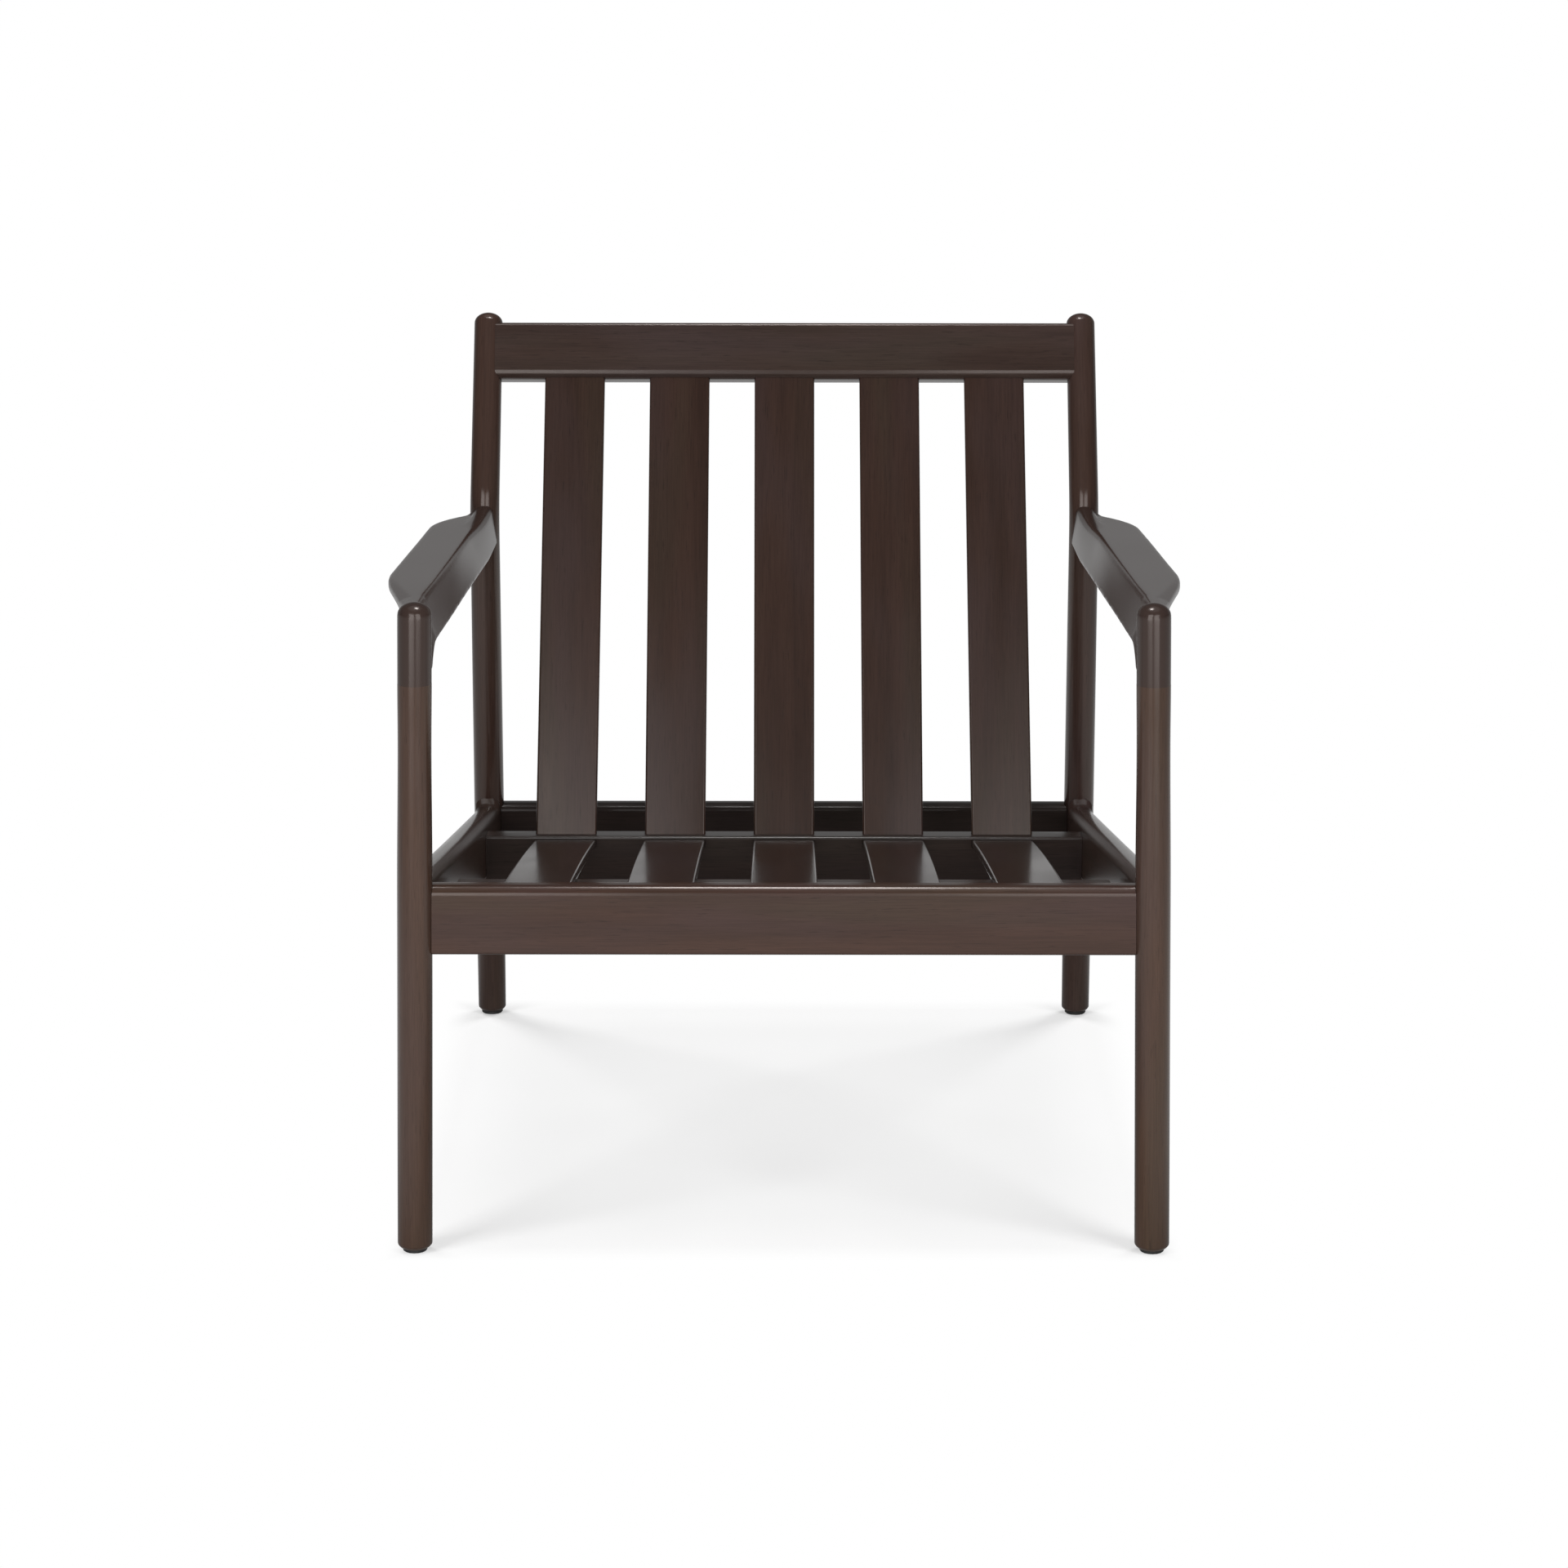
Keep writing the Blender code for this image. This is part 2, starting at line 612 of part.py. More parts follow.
def arm_section(y):
    top = arm_top(y)
    low = arm_low(y)
    near_leg = max(1 - y / WING_FRONT_Y, 0) ** WING_LEG_HOLLOW
    near_post = max(1 - (arm_post_y - y) / WING_REAR_SETBACK, 0) ** WING_POST_HOLLOW
    body = top - low - 2 * WING_EDGE_EASE
    edge = blend(WING_EDGE, body, max(near_leg, near_post))
    reach = max(wing_reach(y), WING_LEG_ROOT)
    inner = blend(ARM_INNER, ARM_LEG_TAPER, leg_sweep(y) ** 2)
    bevel = min(WING_EDGE_EASE + WING_BEVEL * max(1 - y / WING_FRONT_Y, 0), reach / 2)
    shoulder = top - bevel * WING_BEVEL_FALL
    ridge = top + sweep(arm_post_face - y, ARM_POST_SWEEP, ARM_POST_RISE)
    corners = [(-inner, low + ARM_INNER_LIFT), (min(ARM_SPINE, reach / 2), low), (reach, top - edge),
               (reach, shoulder), (reach - bevel, top), (-ARM_RIDGE, ridge)]
    radii = (ARM_INNER_EASE, ARM_SPINE_EASE, WING_EDGE_EASE, WING_EDGE_EASE, WING_EDGE_EASE, ARM_RIDGE_EASE)
    return rounded(corners, radii)


def arm_stations():
    stations = [LEG_HEAD_RADIUS * k / 3 for k in range(3)]
    stations += [LEG_HEAD_RADIUS + ARM_LEG_SWEEP * k / 6 for k in range(7)]
    sweep_end = stations[-1]
    stations += [blend(sweep_end, WING_FRONT_Y, k / 5) for k in range(1, 6)]
    corner = arm_post_y - WING_REAR_SETBACK
    stations += [blend(WING_FRONT_Y, corner, (1 - cos(pi * k / 9)) / 2) for k in range(1, 10)]
    sweep_start = arm_post_face - ARM_POST_SWEEP
    stations += [blend(corner, sweep_start, k / 3) for k in range(1, 4)]
    stations += [sweep_start + ARM_POST_SWEEP * k / 4 for k in range(1, 5)]
    stations += [arm_post_y]
    return stations


def arm_tenon(side, grow=0.0):
    half = TENON_THICKNESS / 2
    x = side * arm_line_x(arm_post_face)
    ends = (arm_post_face - TENON_LENGTH, arm_post_face + TENON_LENGTH)
    return sorted_block("tenon", (x - half, ends[0], arm_post_z - ARM_TENON_HEIGHT / 2),
                        (x + half, ends[1], arm_post_z + ARM_TENON_HEIGHT / 2), grow)


def arm_solid(name, side):
    rings = []
    for y in arm_stations():
        line = side * arm_line_x(y)
        rings.append([Vector((line + side * out, y, z)) for out, z in arm_section(y)])
    arm = loft(name, rings)
    up = Vector((0, 0, 1))
    shoulder = LEG_TOP_Z - LEG_CROWN
    stub = [ring(leg_axis(side, z), up, LEG_HEAD_RADIUS) for z in (LEG_JOINT_Z + CLEARANCE, shoulder)]
    stub += crown(leg_axis(side, shoulder), up, LEG_HEAD_RADIUS, LEG_CROWN)
    return carve(arm, loft("stub", stub), "UNION")


def dowel_solid(name, side, grow=0.0):
    # loose dowel across the joint of leg and arm
    half = DOWEL_LENGTH / 2 + grow
    up = Vector((0, 0, 1))
    rings = []
    shoulder = half - DOWEL_CHAMFER
    for z, inset in ((-half, DOWEL_CHAMFER), (-shoulder, 0), (shoulder, 0), (half, DOWEL_CHAMFER)):
        rings.append(ring(leg_axis(side, LEG_JOINT_Z + z), up, DOWEL_RADIUS - inset + grow, sides=12))
    return loft(name, rings)


def glide_solid(name, foot, grow=0.0):
    # domed disc with a pin driven up into the foot
    up = Vector((0, 0, 1))
    base = Vector((foot.x, foot.y, 0))
    profile = ((0, GLIDE_RADIUS - GLIDE_EASE), (GLIDE_EASE, GLIDE_RADIUS), (GLIDE_HEIGHT, GLIDE_RADIUS),
               (GLIDE_HEIGHT, GLIDE_PIN_RADIUS), (GLIDE_HEIGHT + GLIDE_PIN_LENGTH, GLIDE_PIN_RADIUS))
    return loft(name, [ring(base + up * z, up, radius, sides=16) for z, radius in profile])


def pin_hole(foot):
    up = Vector((0, 0, 1))
    base = Vector((foot.x, foot.y, 0))
    rings = [ring(base + up * z, up, GLIDE_PIN_RADIUS + CLEARANCE, sides=16)
             for z in (FOOT_Z - FOOT_CHAMFER, GLIDE_HEIGHT + GLIDE_PIN_LENGTH + CLEARANCE)]
    return loft("hole", rings)


def cope(piece, upright, tenon):
    # shape a rail's end round an upright and leave its tenon standing
    carve(piece, carve(upright, tenon))


pieces = {}

# Uprights, with the sockets of everything that is let into them
for hand, side in SIDES.items():
    leg = leg_solid(f"front_leg_{hand}", side)
    carve(leg, front_tenon(side, CLEARANCE))
    carve(leg, leg_tenon(side, CLEARANCE))
    carve(leg, dowel_solid("hole", side, CLEARANCE))
    leg_foot = leg_axis(side, FOOT_Z)
    carve(leg, pin_hole(leg_foot))
    post = post_solid(f"rear_post_{hand}", side)
    carve(post, rear_tenon(side, CLEARANCE))
    carve(post, post_tenon(side, CLEARANCE))
    carve(post, arm_tenon(side, CLEARANCE))
    carve(post, crest_tenon(side, CLEARANCE))
    post_foot = post_axis(side, FOOT_Z)
    carve(post, pin_hole(post_foot))
    pieces[leg] = pieces[post] = "wood"
    pieces[glide_solid(f"foot_glide_front_{hand}", leg_foot)] = "glide"
    pieces[glide_solid(f"foot_glide_rear_{hand}", post_foot)] = "glide"
    pieces[dowel_solid(f"arm_dowel_{hand}", side)] = "dowel"

# Arms
for hand, side in SIDES.items():
    arm = arm_solid(f"arm_{hand}", side)
    cope(arm, post_solid("upright", side, CLEARANCE), arm_tenon(side))
    carve(arm, dowel_solid("hole", side, CLEARANCE))
    pieces[arm] = "wood"

# Side rails, with a socket for the slat rail
slat_end_x = side_rail_x(slat_rail_y) - SIDE_RAIL_THICKNESS / 2


def slat_rail_tenon(side, grow=0.0):
    return cross_tenon(side, slat_end_x, slat_rail_y, slat_rail_low + TENON_SHOULDER,
                       SLAT_RAIL_TOP - TENON_SHOULDER, SLAT_RAIL_TENON, grow)


for hand, side in SIDES.items():
    rail = side_rail_solid(f"side_rail_{hand}", side)
    cope(rail, leg_solid("upright", side, CLEARANCE), leg_tenon(side))
    cope(rail, post_solid("upright", side, CLEARANCE), post_tenon(side))
    carve(rail, slat_rail_tenon(side, CLEARANCE))
    pieces[rail] = "wood"

# Front and rear rails: tenoned to the uprights, stopped at the inner faces of the side rails
def front_return(side):
    # what would pass behind the leg
    inner = side_rail_x(seat_front_y) - SIDE_RAIL_THICKNESS / 2 - CLEARANCE
    front = FRONT_TENON_SET + TENON_THICKNESS / 2 + CLEARANCE
    return sorted_block("beyond", (side * inner, front, front_low - RAIL_THICKNESS),
                        (side * (front_leg_x + RAIL_THICKNESS), seat_front_y + RAIL_THICKNESS, LEG_NECK_Z))


def rear_return(side):
    return side_rail_solid("beyond", side, CLEARANCE)


half = RAIL_THICKNESS / 2
rails = (
    ("front_rail", front_leg_x, FRONT_RAIL_SET, front_low, FRONT_RAIL_TOP),
    ("rear_rail", rear_post.x, rear_post.y, rear_low, REAR_RAIL_TOP),
)
joinery = {
    "front_rail": (leg_solid, front_tenon, front_return),
    "rear_rail": (post_solid, rear_tenon, rear_return),
}
for name, end, y, low, top in rails:
    upright, tenon, beyond = joinery[name]
    corners = [(y - half, low), (y + half, low), (y + half, top), (y - half, top)]
    rail = cross_rail(name, end, corners, (RAIL_EASE, RAIL_EASE, RAIL_ROUND, RAIL_ROUND))
    for side in SIDES.values():
        cope(rail, upright("upright", side, CLEARANCE), tenon(side))
        carve(rail, beyond(side))
    pieces[rail] = "wood"
    if name == "front_rail":
        for index in range(SLAT_COUNT):
            carve(rail, seat_slat_solid("housing", index, CLEARANCE))

# Slat rail between the side rails, with housings for both sets of slats
front = slat_rail_y - SLAT_RAIL_WIDTH / 2
rear = slat_rail_y + SLAT_RAIL_WIDTH / 2
corners = [(front, slat_rail_low), (rear, slat_rail_low), (rear, SLAT_RAIL_TOP), (front, SLAT_RAIL_TOP)]
outline = rounded(corners, [SLAT_RAIL_EASE] * 4, 3)
side_face = SIDE_RAIL_THICKNESS / 2 + CLEARANCE
ends = []
for side in SIDES.values():
    ends.append([Vector((side * (side_rail_x(y) - side_face), y, z)) for y, z in outline])
slat_rail = loft("slat_rail", ends)
for side in SIDES.values():
    carve(slat_rail, slat_rail_tenon(side), "UNION")
for index in range(SLAT_COUNT):
    carve(slat_rail, back_slat_solid("housing", index, CLEARANCE))
    carve(slat_rail, seat_slat_solid("housing", index, CLEARANCE))
pieces[slat_rail] = "wood"

# Crest rail
half = CREST_THICKNESS / 2
low = CREST_BELOW_TIP + CREST_HEIGHT
corners = [(low, -half), (low, half), (CREST_BELOW_TIP, half), (CREST_BELOW_TIP, -half)]
radii = (CREST_LOW_EASE, CREST_FRONT_EASE, CREST_TOP_EASE, CREST_TOP_EASE)
crest_outline = rounded(corners, radii, 6)
crest = loft("crest_rail", [[back_point(x, down, forward) for down, forward in crest_outline]
                            for x in (-crest_post_x, crest_post_x)])
for side in SIDES.values():
    cope(crest, post_solid("upright", side, CLEARANCE), crest_tenon(side))
for index in range(SLAT_COUNT):
    carve(crest, back_slat_solid("housing", index, CLEARANCE))
pieces[crest] = "wood"

# Slats, batten and screws
batten_half = side_rail_x(BATTEN_Y) - SIDE_RAIL_THICKNESS / 2 - BATTEN_END_GAP
half = BATTEN_WIDTH / 2
corners = [(-half, -BATTEN_THICKNESS), (half, -BATTEN_THICKNESS), (half, 0), (-half, 0)]
batten_outline = rounded(corners, [BATTEN_EASE] * 4, 3)
batten = loft("seat_batten", [[batten_point(x, along, up) for along, up in batten_outline]
                              for x in (-batten_half, batten_half)])
pieces[batten] = "wood"
for index in range(SLAT_COUNT):
    pieces[back_slat_solid(f"back_slat_{index + 1}", index)] = "wood"
    seat_slat = seat_slat_solid(f"seat_slat_{index + 1}", index)
    carve(seat_slat, screw_solid("hole", index, CLEARANCE))
    carve(batten, screw_solid("hole", index, CLEARANCE))
    pieces[seat_slat] = "wood"
    pieces[screw_solid(f"batten_screw_{index + 1}", index)] = "screw"

# Finish, shading and placing: the frame hangs on one empty that centres it over the origin
finishes = {
    "wood": ((0.047, 0.031, 0.026), 0.34, 0.0),
    "dowel": ((0.52, 0.36, 0.21), 0.60, 0.0),
    "glide": ((0.020, 0.018, 0.017), 0.55, 0.0),
    "screw": ((0.60, 0.58, 0.52), 0.35, 1.0),
}
crown_base = post_tip - back_up * POST_CROWN
crown_half = Vector((POST_TOP_RADIUS * cos(BACK_RECLINE), POST_CROWN * sin(BACK_RECLINE))).length
rear_most = crown_base.y + crown_half
frame = bpy.data.objects.new("chair_frame", None)
frame.location = (0, -(rear_most - LEG_RADIUS) / 2, 0)
bpy.context.collection.objects.link(frame)
for piece, finish in pieces.items():
    piece.parent = frame
    piece.data.materials.clear()
    piece.data.materials.append(material(f"{piece.name}_{finish}", *finishes[finish]))
    piece.data.shade_smooth()
    piece.data.set_sharp_from_angle(angle=radians(35))
bpy.context.view_layer.update()
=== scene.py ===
from math import cos, pi, radians, sin, sqrt, tan

import bmesh
import bpy
from mathutils import Matrix, Vector


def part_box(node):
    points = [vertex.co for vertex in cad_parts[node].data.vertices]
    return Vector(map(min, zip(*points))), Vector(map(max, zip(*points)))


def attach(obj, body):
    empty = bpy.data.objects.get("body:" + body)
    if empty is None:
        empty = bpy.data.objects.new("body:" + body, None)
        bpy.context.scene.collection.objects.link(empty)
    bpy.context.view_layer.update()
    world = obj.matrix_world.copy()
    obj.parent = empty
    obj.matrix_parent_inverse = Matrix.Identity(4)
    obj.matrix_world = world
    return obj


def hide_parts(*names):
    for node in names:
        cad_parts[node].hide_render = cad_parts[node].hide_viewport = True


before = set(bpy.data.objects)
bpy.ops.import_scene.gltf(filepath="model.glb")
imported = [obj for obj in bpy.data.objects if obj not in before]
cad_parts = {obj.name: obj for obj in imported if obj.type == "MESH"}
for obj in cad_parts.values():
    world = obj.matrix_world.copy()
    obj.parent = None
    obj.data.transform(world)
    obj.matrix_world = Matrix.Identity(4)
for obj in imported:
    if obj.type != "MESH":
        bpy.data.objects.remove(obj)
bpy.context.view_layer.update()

print("frame loaded:", len(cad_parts), "solids")

# distances towards the rear are measured from where the front legs stand
glideLow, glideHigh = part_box("foot_glide_front_right")
legY = (glideLow.y + glideHigh.y) / 2
sides = {"Left": -1, "Right": 1}


# camera

cameraView = {
    "place": (0, -4.24530, 1.40968), "tilt": 0.24381, "roll": 0.00116,      # tilt is below level
    "lens": 99.848, "sensor": 36, "reach": 100,
}
cameraData = bpy.data.cameras.new("studioCamera")
cameraData.sensor_width = cameraView["sensor"]
cameraData.lens = cameraView["lens"]
cameraData.clip_end = cameraView["reach"]
camera = bpy.data.objects.new("studioCamera", cameraData)
bpy.context.scene.collection.objects.link(camera)
dip = Matrix.Rotation(pi / 2 - cameraView["tilt"], 4, "X")
camera.location = cameraView["place"]
camera.rotation_euler = (dip @ Matrix.Rotation(cameraView["roll"], 4, "Z")).to_euler()
bpy.context.scene.camera = camera
print("camera set")


# shader maths

class Wire:
    # one socket of a node tree; sums and products of wires add Math nodes
    def __init__(self, tree, socket=None):
        self.tree = tree
        self.socket = socket

    def node(self, kind, settings=None, inputs=None, out=0):
        made = self.tree.nodes.new(kind)
        for name, value in (settings or {}).items():
            setattr(made, name, value)
        for key, value in (inputs or {}).items():
            if isinstance(value, Wire):
                self.tree.links.new(value.socket, made.inputs[key])
            else:
                made.inputs[key].default_value = value
        return Wire(self.tree, made.outputs[out] if made.outputs else None)

    def math(self, operation, first, second):
        return self.node("ShaderNodeMath", {"operation": operation}, {0: first, 1: second})

    def __add__(self, other):
        return self.math("ADD", self, other)

    def __sub__(self, other):
        return self.math("SUBTRACT", self, other)

    def __rsub__(self, other):
        return self.math("SUBTRACT", other, self)

    def __mul__(self, other):
        return self.math("MULTIPLY", self, other)

    __radd__ = __add__
    __rmul__ = __mul__


def mixColour(sheet, share, first, second, blend="MIX"):
    return sheet.node("ShaderNodeMix", {"data_type": "RGBA", "blend_type": blend},
                      {0: share, 6: first, 7: second}, 2)


def spread(sheet, value, low, high, start=0.0, end=1.0):
    # value between low and high, eased onto start to end
    return sheet.node("ShaderNodeMapRange", {"interpolation_type": "SMOOTHSTEP"},
                      {0: value, 1: low, 2: high, 3: start, 4: end})


def partOf(sheet, vector, axis):
    return sheet.node("ShaderNodeSeparateXYZ", None, {0: vector}, "XYZ".index(axis))


def newSheet(name):
    made = bpy.data.materials.new(name)
    made.use_nodes = True
    made.node_tree.nodes.clear()
    return made, Wire(made.node_tree)


# stained wood

woodLook = {
    "brown": (0.066, 0.0336, 0.0240, 1),
    "dark": (0.047, 0.0241, 0.0173, 1),
    "plum": (0.060, 0.0335, 0.0300, 1),
    "olive": (0.056, 0.0365, 0.0250, 1),
    "pore": (0.018, 0.0100, 0.0080, 1),
    "worn": (0.170, 0.120, 0.090, 1),
    "tint": (1.0, 0.91, 0.87, 1),                   # of the shine
    "roughness": 0.19, "bareRoughness": 0.36,       # with lacquer and without
    "index": 1.45, "bareShine": 0.12,
    "poreShare": 0.45, "poreRoughness": 0.02, "poreSink": 0.4,
    "wornShare": 0.5, "wornRoughness": 0.2,
    "fibreRise": 0.5, "hairRise": 0.2, "relief": 0.035, "reliefDepth": 0.0004,
    # where a pattern begins and is full, and the two values that it runs between if not 0 and 1
    "figureSpread": (0.30, 0.70),
    "cloudSpread": (0.42, 0.70, 0.0, 0.75), "castSpread": (0.48, 0.72, 0.0, 0.60),
    "fibreStreak": (0.25, 0.75, 0.91, 1.09), "hairStreak": (0.25, 0.75, 0.95, 1.05),
    "poreSpread": (0.64, 0.74), "rubSpread": (0.50, 0.62),
    "cloudGloss": (0.3, 0.7, -0.03, 0.03), "fibreRelief": (0.2, 0.8),
    # the same for lacquer, by where a face points
    "upperFilm": (0.04, 0.24), "outerFilm": (-0.20, -0.04), "frontFilm": (-0.88, -0.50, 0.3, 1.0),
    # noise on a board: stretch across, along and through it, detail, roughness, wander
    "figure": ((46, 2.2, 46), 3.0, 0.55, 0.6),      # growth rings
    "cloud": ((13, 3.5, 13), 2.0, 0.5, 0.0),        # uneven take-up of the stain
    "cast": ((21, 2.7, 21), 1.0, 0.5, 0.0),         # greener patches
    "fibre": ((720, 19, 720), 2.0, 0.5, 0.0),
    "hair": ((1500, 42, 1500), 1.0, 0.5, 0.0),
    "pores": ((980, 46, 980), 1.0, 0.5, 0.0),
    "rub": ((160, 60, 160), 3.0, 0.6, 0.0),         # patchy wear of the edges
}


def stainedWood(name, depth=1.0, greyToneAndSheen=0.0, lacquered="all", coat=0.0, hue=(1, 1, 1)):
    # depth below 1 is a darker board, greying above 0 a cooler one; both stand partly for the wood's
    # own tone and partly for painted light and shade, the greying also for a painted neutral sheen
    # lacquer lies on all faces, the upper ones or the outer ones
    look = woodLook
    made, sheet = newSheet(name)
    grain = sheet.node("ShaderNodeAttribute", {"attribute_name": "grain"}, out=1)      # of each piece

    def shade(key):
        tone = look[key][:3]
        middle = sum(tone) / 3
        return tuple(depth * h * (c + (middle - c) * greyToneAndSheen) for c, h in zip(tone, hue)) + (1,)

    def noise(key):
        stretch, detail, rough, wander = look[key]
        place = sheet.node("ShaderNodeVectorMath", {"operation": "MULTIPLY"}, {0: grain, 1: stretch})
        return sheet.node("ShaderNodeTexNoise", None, {"Vector": place, "Scale": 1.0, "Detail": detail,
                                                       "Roughness": rough, "Distortion": wander})

    figure, cloud, cast, fibre, hair = map(noise, ("figure", "cloud", "cast", "fibre", "hair"))
    pores = spread(sheet, noise("pores"), *look["poreSpread"])

    rings = spread(sheet, figure, *look["figureSpread"])
    colour = mixColour(sheet, rings, shade("dark"), shade("brown"))
    colour = mixColour(sheet, spread(sheet, cloud, *look["cloudSpread"]), colour, shade("plum"))
    colour = mixColour(sheet, spread(sheet, cast, *look["castSpread"]), colour, shade("olive"))
    streak = spread(sheet, fibre, *look["fibreStreak"]) * spread(sheet, hair, *look["hairStreak"])
    tone = sheet.node("ShaderNodeCombineColor", None, {0: streak, 1: streak, 2: streak})
    colour = mixColour(sheet, 1.0, colour, tone, "MULTIPLY")
    colour = mixColour(sheet, pores * look["poreShare"], colour, shade("pore"))

    wear = sheet.node("ShaderNodeAttribute", {"attribute_name": "wear"}, out=2)
    rubbed = wear * spread(sheet, noise("rub"), *look["rubSpread"])
    colour = mixColour(sheet, rubbed * look["wornShare"], colour, look["worn"])

    gloss = look["roughness" if lacquered == "all" else "bareRoughness"]
    gloss = gloss + rubbed * look["wornRoughness"] + spread(sheet, cloud, *look["cloudGloss"])
    gloss = gloss + pores * look["poreRoughness"]
    height = spread(sheet, fibre, *look["fibreRelief"]) * look["fibreRise"] + hair * look["hairRise"]
    height = height - pores * look["poreSink"]
    normal = sheet.node("ShaderNodeBump", None,
                        {"Strength": look["relief"], "Distance": look["reliefDepth"], "Height": height})
    finish = {"Base Color": colour, "Roughness": gloss, "Normal": normal,
              "IOR": look["index"], "Specular Tint": look["tint"]}
    if lacquered != "all":
        facing = sheet.node("ShaderNodeNewGeometry", out=1)
        if lacquered == "upper":
            film = spread(sheet, partOf(sheet, facing, "Z"), *look["upperFilm"], 0.0, coat)
        else:
            place = sheet.node("ShaderNodeNewGeometry", out=0)
            outward = partOf(sheet, facing, "X") * partOf(sheet, place, "X")
            film = spread(sheet, outward, *look["outerFilm"], 0.0, coat)
            film = film * spread(sheet, partOf(sheet, facing, "Y"), *look["frontFilm"])
        finish.update({"Specular IOR Level": look["bareShine"], "Coat Weight": film,
                       "Coat Roughness": look["roughness"], "Coat IOR": look["index"]})
    board = sheet.node("ShaderNodeBsdfPrincipled", None, finish)
    sheet.node("ShaderNodeOutputMaterial", None, {"Surface": board})
    return made


# one stain in a copy per piece: the depth, greying and hue given to each are partly the wood's own tone
# and partly painted light and shade for how light falls on that piece, the greying and hue also a
# painted neutral sheen
legWood = stainedWood("legWood", 1.20, -0.02, hue=(1, 1.07, 0.97))
postWood = stainedWood("postWood", 0.92, 0.16)
armWood = stainedWood("armWood", 0.94, 0.34)
railWood = stainedWood("railWood", 0.97)
sideWood = stainedWood("sideWood", 0.90, 0.20, "outer", 0.95)
shadedWood = stainedWood("shadedWood", 0.52, 0.40, "upper", 0.95)      # the rail inside the frame, darker as painted shade
# the rear rail, darker as painted shade inside the frame
rearShadeWood = stainedWood("rearShadeWood", 0.62, 0.45, "upper", 0.35)
battenWood = stainedWood("battenWood", 0.80, 0.2, "upper", 0.0)        # bare
crestWood = stainedWood("crestWood", 0.80, 0.30)
slatWood = stainedWood("slatWood", 0.72, 0.06)
seatWood = stainedWood("seatWood", 0.88, 0.4)
print("wood mixed")


# joiner's helpers

def blend(a, b, t):
    return a + (b - a) * t


def clamp(t):
    return min(max(t, 0), 1)


def ease(t):
    t = clamp(t)
    return t * t * (3 - 2 * t)


def easeMin(a, b, reach):
    # smaller of two lines, with their corner rounded off
    overlap = max(reach - abs(a - b), 0) / reach
    return min(a, b) - overlap * overlap * reach / 4


def sweepUp(distance, length, height):
    near = clamp(1 - distance / length)
    return height * (1 - sqrt(1 - near * near))


def roundedOutline(corners, radii, steps):
    outline = []
    longestRun = 0.45      # share of a side that a rounding may take up
    for i, corner in enumerate(corners):
        corner = Vector(corner)
        back = Vector(corners[i - 1]) - corner
        ahead = Vector(corners[(i + 1) % len(corners)]) - corner
        half = back.angle(ahead) / 2
        run = min(radii[i] / tan(half), longestRun * back.length, longestRun * ahead.length)
        start = corner + back.normalized() * run
        end = corner + ahead.normalized() * run
        hub = corner + (back.normalized() + ahead.normalized()).normalized() * run / cos(half)
        for k in range(steps + 1):
            spoke = (start - hub).slerp(end - hub, k / steps)
            outline.append(hub + spoke.normalized() * (start - hub).length)
    return outline


def circle(centre, axis, radius, count=56, levelZ=None):
    axis = axis.normalized()
    across = (Vector((1, 0, 0)) - axis * axis.x).normalized()
    other = axis.cross(across)
    points = []
    for i in range(count):
        turn = 2 * pi * i / count
        point = centre + (across * cos(turn) + other * sin(turn)) * radius
        if levelZ is not None:
            point = point + axis * ((levelZ - point.z) / axis.z)
        points.append(point)
    return points


def dome(centre, axis, radius, height, steps=14):
    rings = []
    for k in range(1, steps + 1):
        turn = 0.5 * pi * k / (steps + 0.2)      # the last ring stays open for its cap
        rings.append(circle(centre + axis * height * sin(turn), axis, radius * cos(turn)))
    return rings


def skin(rings):
    # closed mesh over matching rings
    mesh = bmesh.new()
    loops = [[mesh.verts.new(point) for point in ring] for ring in rings]
    for lower, upper in zip(loops, loops[1:]):
        for i in range(len(lower)):
            j = (i + 1) % len(lower)
            mesh.faces.new((lower[i], lower[j], upper[j], upper[i]))
    mesh.faces.new(loops[0])
    mesh.faces.new(loops[-1])
    bmesh.ops.recalc_face_normals(mesh, faces=mesh.faces)
    if mesh.calc_volume(signed=True) < 0:
        bmesh.ops.reverse_faces(mesh, faces=mesh.faces)
    return mesh


def loose(name, mesh):
    # mesh as an object that rides on nothing yet
    data = bpy.data.meshes.new(name)
    mesh.to_mesh(data)
    mesh.free()
    made = bpy.data.objects.new(name, data)
    bpy.context.scene.collection.objects.link(made)
    return made


def bakeModifiers(piece):
    bpy.context.view_layer.update()
    graph = bpy.context.evaluated_depsgraph_get()
    shaped = bpy.data.meshes.new_from_object(piece.evaluated_get(graph))
    plain = piece.data
    piece.modifiers.clear()
    piece.data = shaped
    bpy.data.meshes.remove(plain)


def cutWith(piece, cutter):
    cut = piece.modifiers.new("cope", "BOOLEAN")
    cut.operation = "DIFFERENCE"
    cut.solver = "EXACT"
    cut.object = cutter
    bakeModifiers(piece)


def copyOf(node):
    # a solid's own shape as one welded skin
    mesh = bmesh.new()
    mesh.from_mesh(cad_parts[node].data)
    bmesh.ops.remove_doubles(mesh, verts=mesh.verts, dist=1e-6)
    return mesh


boardShift = Vector((1.37, 2.11, 0.73))      # no two pieces share their grain
pieceCount = 0


